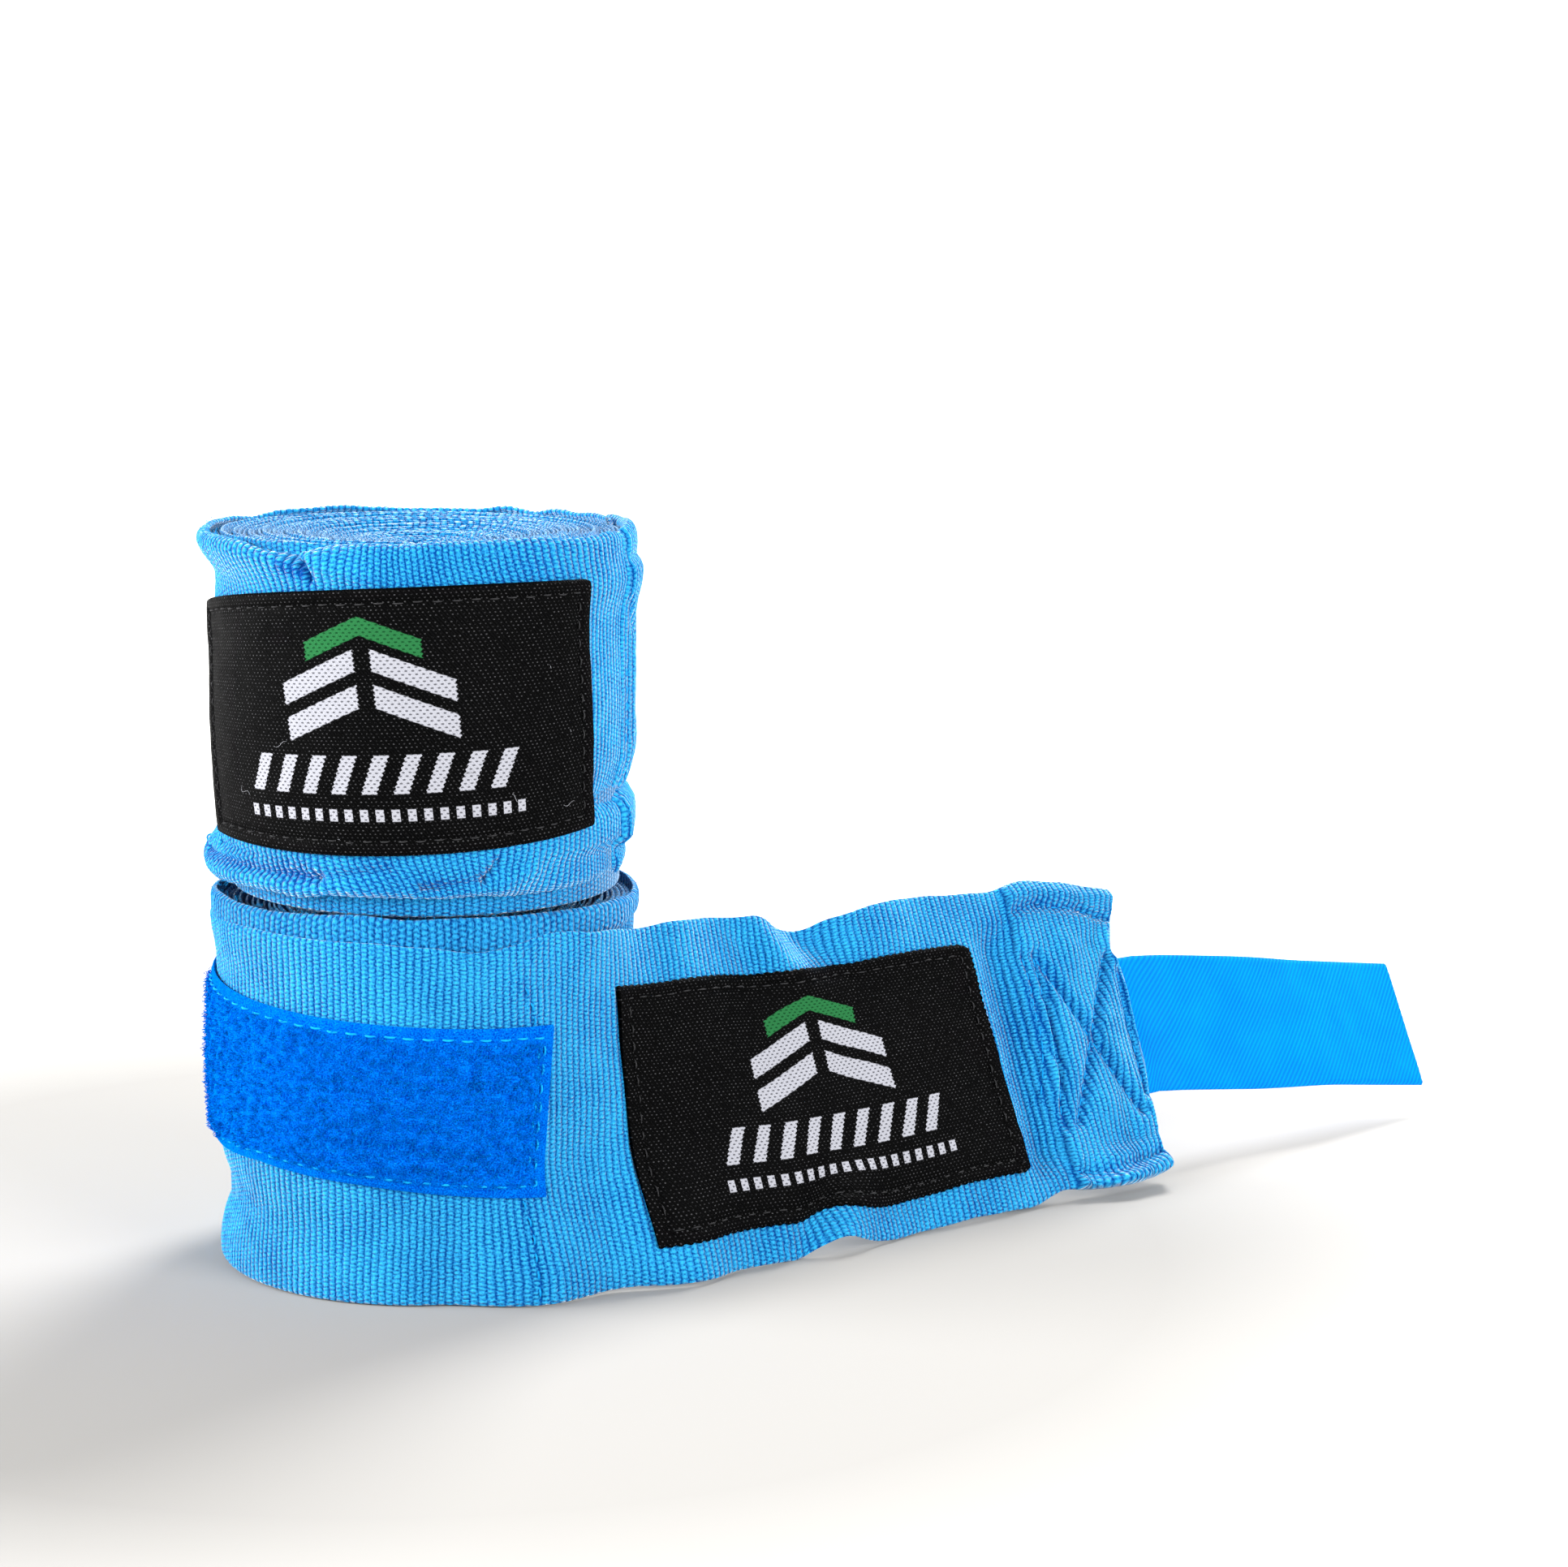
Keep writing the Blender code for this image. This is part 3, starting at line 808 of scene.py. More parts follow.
FOLD_START = 90.5
FOLD_END = 112.6
FOLD_PUFF = 2.1


def groove(s, v, ends, width):
    """1 along a straight line of stitching between two points, fading to 0 beside it."""
    (s0, v0), (s1, v1) = ends
    length = math.hypot(s1 - s0, v1 - v0)
    ds, dv = (s1 - s0) / length, (v1 - v0) / length
    along = np.clip((s - s0) * ds + (v - v0) * dv, 0.0, length)
    return np.exp(-(((s - s0 - along * ds) ** 2 + (v - v0 - along * dv) ** 2) / width**2))


def quilted(s, v, puff, seams):
    """A puffed surface drawn in along lines of stitching, each set of them with its own pull and width."""
    for lines, pull, width in seams:
        for ends in lines:
            puff = puff * (1 - pull * groove(s, v, ends, width))
    return puff


def legs(lines):
    """The straight legs of a few lines given by their corners."""
    return [leg for line in lines for leg in zip(line, line[1:])]


# The stitching of the folded end, as lines of (s, v) corners: the box and its cross, then the two hems
BOX_LINES = legs([
    ((90.9, 12.4), (90.7, 5.8), (90.1, -3.1), (88.6, -10.3)),
    ((92.9, 12.0), (93.0, 5.0), (92.3, -4.5), (90.6, -15.0)),
    ((108.9, 7.7), (108.3, -2.0), (108.0, -12.2)), ((92.9, 12.0), (100.2, -2.6), (105.8, -14.6)),
    ((107.0, 10.4), (100.2, -2.6), (93.4, -14.6)),
])
HEM_LINES = legs([
    ((91.0, 20.2), (96.0, 20.5), (104.0, 19.3), (109.0, 17.4)),
    ((89.6, -22.2), (96.0, -23.0), (106.4, -22.4)),
])
HEM_PUFF = 0.8


def fold_relief(s, v):
    """The folded end: a second layer, puffed up between its lines of stitching."""
    on = smooth((s - FOLD_START + 1.2) / 1.6) * smooth((FOLD_END + 0.3 - s) / 1.2)
    seen = s - end_pull(s, v)
    puff = 0.75 + 0.25 * noise(s / 5.0, v / 6.0, 9)
    puff = quilted(seen, v, puff, ((BOX_LINES, 0.92, 0.9), (HEM_LINES, 0.75, 0.8)))
    lip = bump(v, 22.4, 1.6) + bump(v, -25.0, 1.8)
    return on * (FOLD_PUFF * puff + HEM_PUFF * lip)


# The cross seam at the patch's end, on the roll
SEAM_LINE = [(-3.0, -24.3), (-3.1, -15.0), (-3.8, -10.8), (-1.3, 13.9), (-3.0, 19.6)]


def tail_painted_shade(s, v):
    """Painted shade: how much the grooves of the lines of stitching and the valley beside the folded end
    are darkened.
    """
    seen = s - end_pull(s, v)
    lines = sum(groove(seen, v, ends, 0.55) for ends in BOX_LINES + HEM_LINES)
    lines = lines + 0.7 * sum(groove(s, v, ends, 0.4) for ends in legs([SEAM_LINE]))
    return np.minimum(lines, 1.0) * 0.38 + 0.22 * bump(s, 86.0, 2.6) * smooth((24.0 - np.abs(v)) / 8.0)


def tail_relief(s, v, knit_s):
    return band_relief(s, v, knit_s) + fold_relief(s, v)


def tail_drift(s, v):
    """How far the ribs are pulled aside where the tail is gathered beside its label."""
    high, low = smooth((v - 12.0) / 12.0), smooth((-14.0 - v) / 10.0)
    gathered = 2.2 * bump(s, 50.0, 9.0) * high - 1.4 * bump(s, 45.0, 7.0) * low
    return gathered - 0.7 * end_pull(s, v) + 0.25 * noise(s / 8.0, v / 12.0, 2)


def blend_at(obj, k):
    """Bakes a piece's placement into its mesh; the ends of the bend between bodies k and k + 1 of the tail
    are worked out but not used.
    """
    start, end = BENDS[k]
    if k < 6:
        middle = MID_RADIUS * OUTWARD + HINGES[k][2] * UP
        a, b = middle + start * ALONG, middle + end * ALONG
        if k == 5:
            a, b = HINGES[5] - ALONG * 1.0, HINGES[5] + TAB_REACH / TAB_BEND * (end - STATIONS[5])
    else:
        run = TAB_REACH / TAB_BEND
        a, b = HINGES[6] + (start - STATIONS[6]) * run, HINGES[6] + (end - STATIONS[6]) * run
    BODIES[k + 1]
    tuple(a * MM)
    tuple(b * MM)
    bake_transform(obj)


def stand_for(piece, slot, *nodes):
    """Hides the CAD nodes that a piece stands for, if any. The slot is not used."""
    if nodes:
        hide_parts(*nodes)


def riding(piece, body, slot, *nodes):
    """A piece that moves with one body, with the CAD nodes it stands for hidden. The slot is not used."""
    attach(piece, body)
    stand_for(piece, slot, *nodes)


def bending(piece, k, slot, *nodes):
    """A tail piece between bodies k and k + 1, its placement baked in and its CAD nodes hidden. The slot is
    not used.
    """
    blend_at(piece, k)
    stand_for(piece, slot, *nodes)


def cloth_sheet(obj, width, length, held, rests_on, **more):
    length * MM


# The lower wrap's band, from one turn round the roll to the folded end
ROLL_START = -176.0
band_rows = rows(-BAND_WIDTH / 2, BAND_WIDTH / 2, 0.85)
lower_band = Strip(
    stations(ROLL_START, TAIL_END, KNIT_STEP), band_rows, band_place, BAND_BODY, tail_relief,
    under=lambda s, v, knit_s: np.where(s > 0.0, band_relief(s, v, knit_s), 0.0),
    drift=tail_drift, painted_shade=tail_painted_shade,
)

outer_turn = lower_band.piece("lower_outer_turn_band", BAND, ROLL_START, TAIL_CUTS[0], every=6)
riding(outer_turn, "lower_roll", "band")
cloth_sheet(outer_turn, BAND_WIDTH, TAIL_CUTS[0] - ROLL_START, "laid", ["lower_wound_turns"])

NAMES = ["lower_tail_cloth_%d" % k for k in range(1, 6)] + ["lower_end_fold_cloth"]
STOOD_FOR = [["lower_tail_band_%d" % k] for k in range(1, 5)] + [[], ["lower_end_fold"]]
for k, (name, nodes) in enumerate(zip(NAMES, STOOD_FOR)):
    cloth = lower_band.piece(name, BAND, TAIL_CUTS[k], TAIL_CUTS[k + 1])
    bending(cloth, min(k, 4), "band")
    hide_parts(*nodes)
    cloth_sheet(cloth, BAND_WIDTH, TAIL_CUTS[k + 1] - TAIL_CUTS[k], "stretched", ["lower_outer_turn_band"])


SECOND_RADIUS = 27.65
SECOND_THICK = 0.85
WOUND_WIDTH = 48.6
# What is left of each wrap's length for the turns inside the ones that show
LOWER_WOUND_LENGTH = WRAP_LENGTH - 510.0
UPPER_WOUND_LENGTH = WRAP_LENGTH - 340.0


def second_place(s, v):
    """The lower roll's second turn: inside the outer one, and spreading over its upper edge."""
    degrees = np.degrees(s / SECOND_RADIUS)
    left, right = bump(degrees, -90.0, 45.0), bump(degrees, 95.0, 45.0)
    share = np.clip(v / 25.0, 0.0, 1.0)
    crown = 2.0 + 0.9 * bump(degrees, 0.0, 60.0) - 0.4 * right + 0.3 * noise(degrees / 14.0, 1.0, 9)
    z = 25.6 + v + share**3 * crown
    spread = smooth((z - 47.0 + 0.8 * left) / 3.0) * (1.9 * left + 1.7 * right + 0.35)
    roll_in = -1.3 * smooth((z - (49.6 + crown)) / 1.6) ** 2
    under = -0.5 * smooth((-degrees - 150.0) / 30.0)
    wave = 0.18 * noise(degrees / 14.0, z / 6.0, 5) * smooth((z - 46.0) / 3.0)
    return on_roll(SECOND_RADIUS + spread + roll_in + under + wave, degrees, z)


second_half = math.radians(179.6) * SECOND_RADIUS
second_span = (-second_half, second_half)
second_rows = np.concatenate([np.linspace(-24.8, 17.0, 12), rows(17.8, 25.0, 0.5, 1.2, 0.25)])
second_turn = Strip(
    stations(*second_span, KNIT_STEP), second_rows, second_place, SECOND_THICK - RIB_DEPTH, band_relief
).piece("lower_second_turn_band", BAND_INNER_SHADED, every=4)
riding(second_turn, "lower_roll", "band", "lower_wound_band")
cloth_sheet(second_turn, BAND_WIDTH, second_span[1] - second_span[0], "laid", ["lower_wound_turns"])


def lower_top(radius, degrees):
    """The top of the lower roll's wound turns: dished, with the outermost proud of the outer turn."""
    front = 0.5 + 0.5 * np.cos(np.radians(degrees))
    rise = smooth((radius - 22.0) / 4.0) * (0.3 + 0.9 * front)
    return 49.3 + 1.3 * smooth((radius - 8.0) / 16.0) + rise


def beside(degrees, side, width):
    """A soft hill at a roll's left (side -1) or right (side 1), on every turn."""
    return bump(np.sin(np.radians(degrees)) * 90.0, side * 90.0, width)


def lower_spread(radius, degrees):
    """How far the lower roll's outer turns spread at their tops, most at the left and right."""
    sides = 1.9 * beside(degrees, -1, 40.0) + 0.3 + 1.7 * beside(degrees, 1, 40.0)
    return smooth((radius - 21.0) / 6.0) * sides


lower_wound = wound_turns(
    "lower_wound_turns", 26.75, LOWER_WOUND_LENGTH, lower_top, lambda r, a: lower_top(r, a) - WOUND_WIDTH,
    lower_spread, 0,
)
riding(lower_wound, "lower_roll", "band", "lower_wound_band")
cloth_sheet(lower_wound, WOUND_WIDTH, LOWER_WOUND_LENGTH, "laid", ["lower_second_turn_band"])

riding(thumb_loop("lower_thumb_loop_webbing", 1.5, 49.5), "lower_roll", "webbing", "lower_thumb_loop")


# ---- The lower wrap's loop patch and cross seam ----

PATCH_SPAN = (-113.0, 39.0)
PATCH_THICK = 0.55
BORDER = 1.5
PATCH_HALF = PATCH_HEIGHT / 2
PATCH_ROWS = rows(-PATCH_HALF, PATCH_HALF, 0.4, 0.4)


def soften(height, seed):
    """The nap of loop pile as a height: clumps about a millimetre across and finer tufts."""

    def relief(s, v):
        clumps = 0.30 * noise(s / 0.9, v / 0.9, seed) + 0.16 * noise(s / 0.42, v / 0.42, seed + 1)
        return height + clumps

    return relief


def patch_relief(low, high, seed):
    """Pile in the middle of a patch and a flat selvedge round its border."""
    pile = soften(0.45, seed)

    def relief(s, v, _):
        inside = np.minimum(s - low, high - s - 0.5)
        inside = np.minimum(inside, PATCH_HALF - np.abs(v + 0.25)) - BORDER
        selvedge = 0.04 * np.sin(2 * math.pi * s / 0.7)
        return pile(s, v) * smooth(inside / 0.5) + selvedge * (1 - smooth(inside / 0.3))

    return relief


def pile_loops(name, place, low, high, count):
    """Small loops of fibre standing up all over a patch."""
    s = RNG.uniform(low + BORDER, high - BORDER, count)
    v = RNG.uniform(-PATCH_HALF + BORDER, PATCH_HALF - BORDER, count)
    base = over(place, np.full(count, PATCH_THICK / 2 + 0.2))(s, v)
    out = unit(over(place, np.full(count, 1.0))(s, v) - place(s, v))
    way = unit(np.cross(out, RNG.normal(0.0, 1.0, (count, 3))))
    lean = RNG.normal(0.0, 0.28, (count, 3))
    arch = np.linspace(0.0, math.pi, 5)[None, :, None]
    wide = RNG.uniform(0.20, 0.42, (count, 1, 1))
    tall = RNG.uniform(0.45, 0.85, (count, 1, 1))
    paths = base[:, None] + way[:, None] * wide * np.cos(arch) + (out + lean)[:, None] * tall * np.sin(arch)
    return tubes(name, paths, 0.055, PILE, 3)


def lower_patch_place(s, v):
    """The patch on the roll's front: it sags a little towards the tail, and its right end slants."""
    slant = (0.9 + 2.0 * (v / PATCH_HEIGHT - 0.5)) * smooth((s - patch_start) / (patch_end - patch_start))
    degrees = YAW + np.degrees((s + slant) / MID_RADIUS)
    top = 39.1 - 0.0295 * degrees
    bottom = np.interp(degrees, (-113.0, -80.0, -45.0, -12.0, 38.0), (15.9, 17.0, 18.1, 17.0, 14.2))
    share = v / PATCH_HEIGHT + 0.5
    z = bottom + (top - bottom) * share
    radius = lower_turn_radius(s, z) + skirt(s, z - BAND_WIDTH / 2)
    return on_roll(radius + BAND_THICK / 2 + PATCH_THICK / 2 + 0.05, degrees, z)


patch_start = math.radians(PATCH_SPAN[0] - YAW) * MID_RADIUS
patch_end = math.radians(PATCH_SPAN[1] - YAW) * MID_RADIUS
lower_patch = Strip(
    stations(patch_start, patch_end, 0.4), PATCH_ROWS, lower_patch_place, PATCH_THICK,
    patch_relief(patch_start, patch_end, 0),
).piece("lower_loop_patch_base", PILE, every=5)
riding(lower_patch, "lower_roll", "pile", "lower_loop_patch")
cloth_sheet(lower_patch, PATCH_HEIGHT, patch_end - patch_start, "laid", ["lower_outer_turn_band"])
lower_pile = pile_loops("lower_loop_patch_pile", lower_patch_place, patch_start, patch_end, 6000)
riding(lower_pile, "lower_roll", "pile", "lower_loop_patch")


def border_lines(low, high, reach, inset):
    """The corners of a closed line of stitching just inside a border."""
    a, b, c = low + inset, high - inset, reach - inset
    return [(a, -c), (b, -c), (b, c), (a, c), (a, -c)]


patch_edge = stitch_line(border_lines(patch_start, patch_end, PATCH_HALF, 1.5), 1.9, 0.6)
second_line = stitch_line([(patch_end - 2.5, -9.8), (patch_end - 2.3, 9.8)], 1.7, 0.6)
patch_edge = np.concatenate([patch_edge, second_line])
riding(
    stitching("lower_patch_stitch_thread", lower_patch_place, patch_edge, PATCH_SEWING),
    "lower_roll", "thread", "lower_patch_stitching",
)

seam_line = stitch_line(SEAM_LINE, 1.6, 0.7)
riding(
    stitching("lower_cross_seam_thread", band_place, seam_line, SEAM_SEWING),
    "lower_roll", "thread", "lower_cross_seam",
)


# ---- The lower wrap's label ----

LABEL_END = LABEL_START + LABEL_LENGTH
LABEL_CUTS = [LABEL_START] + TAIL_CUTS[1:5] + [LABEL_END]
LABEL_CENTRE = ((LABEL_START + LABEL_END) / 2, -LABEL_DROP)


def label_warp(s, v):
    """The sewn label's outline: slanted ends, a rounded upper right corner and wavy, frayed edges."""
    share = (s - LABEL_START) / LABEL_LENGTH
    height = (v + LABEL_DROP) / LABEL_HEIGHT + 0.5
    slant = (1.9 * (1.0 - height) - 2.9) * (1.0 - share) ** 3 - (1.2 * height + 0.2) * share**6
    corner = -0.6 * smooth((share - 0.975) / 0.025) * smooth((height - 0.9) / 0.1)
    frayed = 0.13 * smooth((np.abs(height - 0.5) - 0.488) / 0.012) * np.sin(2 * math.pi * s / 1.3)
    wave_end = 0.16 * smooth((share - 0.992) / 0.008) * np.sin(2 * math.pi * v / 1.1)
    wave = 0.35 * np.sin(s / 7.0) * (height - 0.5) + 0.5 * bump(share, 0.45, 0.3) * (height - 0.4)
    return s + slant + wave_end, v + corner + wave + frayed * np.sign(height - 0.5)


def lower_label_place(s, v):
    return over(band_place, np.full(np.shape(s), BAND_THICK / 2 + 0.18))(*label_warp(s, v))


def label_relief(centre, half):
    """The edges of a label are turned under, and its line of stitching pulls it in."""

    def relief(s, v, _):
        edge = half[1] - np.abs(v - centre[1])
        end = half[0] - np.abs(s - centre[0])
        near = np.minimum(edge, end)
        hem = 0.16 * smooth((2.6 - near) / 0.8) - 0.38 * bump(near, HEM_INSET, 0.42)
        return 0.12 + hem + 0.06 * noise(s / 2.5, v / 2.5, 7) + 0.16 * noise(s / 9.0, v / 6.0, 8)

    return relief


label_half = (LABEL_LENGTH / 2, LABEL_HEIGHT / 2)
label_rows = rows(-label_half[1] - LABEL_DROP, label_half[1] - LABEL_DROP, 0.4)
label_strip = Strip(
    stations(LABEL_START, LABEL_END, LABEL_STEP), label_rows, lower_label_place, LABEL_THICK,
    label_relief(LABEL_CENTRE, label_half), origin=LABEL_CENTRE,
)
label_hem = stitch_line(border_lines(LABEL_START, LABEL_END, label_half[1], HEM_INSET), 1.5, 1.0)
label_hem[..., 1] -= LABEL_DROP
label_rise, label_sink, *label_thread = LABEL_SEWING
label_threads = sewn(lower_label_place, label_hem, label_rise, label_sink)
hem_middle = label_hem[:, STITCH_POINTS // 2, 0]
labels = []
for k in range(5):
    start, end = LABEL_CUTS[k], LABEL_CUTS[k + 1]
    node = "lower_label_%d" % min(k + 1, 4)
    label = label_strip.piece("lower_label_cloth_%d" % (k + 1), LABEL, start, end, every=3)
    bending(label, min(k, 4), "label", node)
    labels.append(label)
    chosen = (hem_middle >= start) & (hem_middle < end)
    threads = tubes("lower_label_thread_%d" % (k + 1), label_threads[chosen], *label_thread)
    bending(threads, min(k, 4), "thread")
# Thread ends at the label's right end, as (s, v)
corner_spots = [(80.0, 13.6), (80.3, 12.4), (80.6, 11.0), (81.0, -18.6), (80.4, -19.4), (81.0, -15.0)]
tufts = loose_ends("lower_label_loose_thread", lower_label_place, corner_spots, 2.0, 0.13, BLACK_THREAD)
bending(tufts, 4, "thread")
for k, short_ends in ((1, labels[:1]), (2, []), (3, labels[4:])):
    length = LABEL_CUTS[k + 1] - LABEL_CUTS[k]
    cloth_sheet(labels[k], LABEL_HEIGHT, length, "laid", [NAMES[k]], with_pieces=short_ends)


# ---- The lower wrap's folded end and its stitching ----


def fold_surface(s, v):
    """The outside of the folded end, without its ribs."""
    return over(band_place, BAND_BODY / 2 + fold_relief(s, v))(s, v)


def sewn_down(lines, length, gap):
    """Stitch paths on the folded end, from where they are seen to where they lie on the unpulled cloth."""
    paths = np.concatenate([stitch_line(ends, length, gap) for ends in lines])
    s, v = paths[..., 0], paths[..., 1]
    flat = s
    for _ in range(4):
        flat = s + end_pull(flat, v)
    return np.stack([flat, v], -1)


box_paths = sewn_down(BOX_LINES, 1.5, 0.8)
bending(
    stitching("lower_box_stitch_thread", fold_surface, box_paths, BOX_SEWING),
    4, "thread", "lower_box_stitching",
)
hem_paths = sewn_down(HEM_LINES, 1.4, 0.9)
bending(
    stitching("lower_fold_hem_thread", fold_surface, hem_paths, HEM_SEWING),
    4, "thread", "lower_box_stitching",
)


# ---- The lower wrap's hook tab ----

TAB_START = 108.0
TAB_END = STATIONS[5] + TAB_LENGTH
TAB_CUT = 127.0
TAB_CENTRE = -1.7
TAB_ROWS = rows(-TAB_HEIGHT / 2, TAB_HEIGHT / 2, 0.6, 0.4)
HOOK_REACH, HOOK_PITCH = 9.6, 1.25
HOOKS_FROM, HOOKLESS_TIP = 114.0, 0.8
HOOK_RADIUS = 0.11


def tab_place(s, v):
    """The hook tab: straight on from under the folded end, drooping and leaning back further at its tip."""
    root = STATIONS[5]
    run = np.cos(DROOP) * ALONG - math.sin(DROOP) * UP
    rise = math.sin(DROOP) * ALONG + math.cos(DROOP) * UP
    lean = lean_at(s)[..., None]
    straight = np.minimum(s, root)[..., None] * ALONG
    drooped = np.maximum(s - root, 0.0)[..., None] * run
    share = smooth((s - root + 3.0) / 6.0)[..., None]
    stand = (1 - share) * UP + share * rise
    up = np.cos(lean) * stand - np.sin(lean) * OUTWARD
    out_of = np.cos(lean) * OUTWARD + np.sin(lean) * stand
    middle = MID_RADIUS * OUTWARD + straight + drooped + tail_middle(np.full_like(s, root))[..., None] * UP
    sway = -0.5 + 0.95 * smooth((s - 111.5) / 7.0)
    sway = sway + 0.35 * np.sin((s - root) / 14.0) * smooth((s - root) / 10.0)
    return middle + (v + TAB_CENTRE)[..., None] * up + sway[..., None] * out_of


def tab_relief(s, v, _):
    """Low diagonal ridges of twill."""
    return 0.035 * np.sin(2 * math.pi * (s - 0.85 * v) / 0.95) + 0.03 * noise(s / 2.0, v / 2.0, 9)


def hook_paths(place, low, high):
    """The hooks on a tab's far side, in staggered rows."""
    across = np.arange(-HOOK_REACH, HOOK_REACH + 0.01, HOOK_PITCH)
    spots_s, spots_v = np.meshgrid(np.arange(low, high, HOOK_PITCH), across, indexing="ij")
    spots_v = spots_v + HOOK_PITCH / 2 * (np.arange(spots_s.shape[0]) % 2)[:, None] - HOOK_PITCH / 4
    s, v = spots_s.ravel(), spots_v.ravel()
    base = over(place, np.full(len(s), -TAB_THICK / 2 + 0.1))(s, v)
    back = unit(place(s, v) - over(place, np.full(len(s), 1.0))(s, v))
    way = unit(place(s + 0.2, v) - place(s, v))
    way = way * np.where(np.arange(len(s)) % 2 == 0, 1.0, -1.0)[:, None]
    height = np.array([0.0, 0.45, 0.80, 0.92, 0.70])[None, :, None]
    shift = np.array([0.0, 0.03, 0.16, 0.42, 0.56])[None, :, None]
    return base[:, None] + back[:, None] * height + way[:, None] * shift


tab_strip = Strip(stations(TAB_START, TAB_END, 0.25), TAB_ROWS, tab_place, TAB_THICK, tab_relief)
for name, start, end, bend, node in (
    ("lower_tab_root_tape", TAB_START, TAB_CUT, 5, "lower_hook_tab_root"),
    ("lower_tab_tip_tape", TAB_CUT, TAB_END, 6, "lower_hook_tab_tip"),
):
    tape = tab_strip.piece(name, TAPE, start, end, every=2)
    paths = hook_paths(tab_place, max(start, HOOKS_FROM), end - HOOKLESS_TIP)
    hooks = tubes(name.replace("tape", "hooks"), paths, HOOK_RADIUS, HOOKS, 3)
    for piece in (tape, hooks):
        bending(piece, bend, "tape", node)
    cloth_sheet(tape, TAB_HEIGHT, end - start, "stretched", ["lower_end_fold_cloth"])


# ---- The upper wrap ----

UPPER_RADIUS = 28.6
UPPER_START, UPPER_FOLD, UPPER_END = -250.0, 76.0, 120.0
CURL_FROM = 22.9
CURL_RADIUS = 1.15


def arc(degrees):
    """The distance along the upper band at an angle."""
    return math.radians(degrees) * UPPER_RADIUS


def upper_radius(degrees, z):
    """The middle radius of the upper wrap's outer turn."""
    left, right = bump(degrees, -95.0, 48.0), bump(degrees, 85.0, 40.0)
    base = UPPER_RADIUS - 0.35 * left - 0.4 * right + 0.25 * noise(degrees / 22.0, z / 10.0, 10)
    full_left = 2.6 * bump(z, 57.5, 2.9) + 2.9 * smooth((z - 97.0) / 5.0) + 0.3 * bump(z, 76.0, 9.0)
    nip = -2.0 * bump(z, 66.8, 1.3) - 0.9 * bump(z, 68.8, 2.4) - 1.6 * smooth((61.4 - z) / 1.6)
    full_right = 0.8 * bump(z, 97.0, 2.8) + nip
    dive = -1.35 * smooth((-degrees - 190.0) / 40.0)
    return base + left * full_left + right * full_right + dive


# Creases and ridges of the upper outer turn: from and to (s, height), how deep or high, and how wide; a
# crease's depth also sets its painted shade
UPPER_CREASES = [
    ((-17.5, 101.9), (-13.2, 100.6), 1.8, 0.6), ((-13.2, 100.6), (-12.4, 99.0), 1.3, 0.6),
    ((-41.0, 58.4), (-12.0, 58.6), 1.6, 0.7), ((-34.0, 60.4), (-14.0, 60.0), 0.7, 0.6),
    ((-12.0, 58.6), (-2.0, 60.3), 0.5, 0.6), ((2.0, 57.6), (10.5, 58.4), 0.9, 0.5),
    ((10.5, 58.4), (12.6, 61.0), 1.1, 0.5),
]
UPPER_RIDGES = [((-12.0, 101.0), (-4.0, 99.6), 0.7, 1.6), ((13.5, 58.0), (17.5, 59.4), 0.8, 1.5)]


def upper_creases(s, z):
    """Small creases where the outer turn is gathered at its two edges."""
    depth = 0.0
    for start, end, deep, wide in UPPER_CREASES:
        depth = depth - deep * groove(s, z, (start, end), wide)
    for start, end, high, wide in UPPER_RIDGES:
        depth = depth + high * groove(s, z, (start, end), wide)
    return depth


def upper_painted_shade(s, v):
    """Painted shade: how much the creases are darkened, and the gathered edges above and below the label.
    """
    z = UPPER_MIDDLE + v
    lines = sum(deep * groove(s, z, (start, end), wide) for start, end, deep, wide in UPPER_CREASES)
    gathered = bump(s, 6.0, 32.0) * (smooth((v - 14.0) / 6.0) + smooth((-16.0 - v) / 6.0))
    return 0.45 * np.minimum(lines, 1.5) + 0.16 * gathered


def upper_place(s, v):
    """The upper wrap's outer turn, with both its edges curled in."""
    degrees = np.degrees(s / UPPER_RADIUS)
    share = np.clip(v / 25.0, -1.0, 1.0)
    dip = -0.9 * bump(degrees, -90.0, 34.0) - 2.2 * bump(degrees, -38.0, 17.0)
    dip = dip - 0.4 * bump(degrees, 82.0, 30.0)
    edge = np.where(v > 0, dip - 0.7 * bump(degrees, -180.0, 60.0), 0.0)
    edge = edge + np.where(v < 0, 0.7 * bump(degrees, 5.0, 45.0) - 0.5 * bump(degrees, -90.0, 30.0), 0.0)
    edge = edge + 0.35 * noise(degrees / 10.0, np.sign(v), 11)
    full = 0.8 + 0.2 * noise(degrees / 18.0, 5.0, 11)
    bend = np.clip(np.abs(v) - CURL_FROM, 0.0, None) / CURL_RADIUS * np.where(v > 0, 1.0, 0.55) * full
    straight = np.clip(v, -CURL_FROM, CURL_FROM) + np.sign(v) * CURL_RADIUS * np.sin(bend)
    z = UPPER_MIDDLE + straight + share**2 * edge
    tail = smooth((s - arc(64.0)) / 8.0)
    radius = upper_radius(degrees, z) - CURL_RADIUS * (1 - np.cos(bend)) + upper_creases(s, z) * (1 - tail)
    return on_roll(radius, degrees, z)


UPPER_BOX = [
    ((arc(79.0), 14.5), (arc(79.0), -13.5)), ((arc(82.5), 13.0), (arc(82.0), -12.0)),
    ((arc(115.0), 11.0), (arc(115.0), -12.0)),
    ((arc(83.0), 13.0), (arc(114.0), -12.0)), ((arc(114.0), 11.0), (arc(83.0), -12.0)),
]
UPPER_HEMS = [((arc(78.0), 20.5), (arc(116.0), 19.5)), ((arc(78.0), -21.0), (arc(116.0), -20.5))]


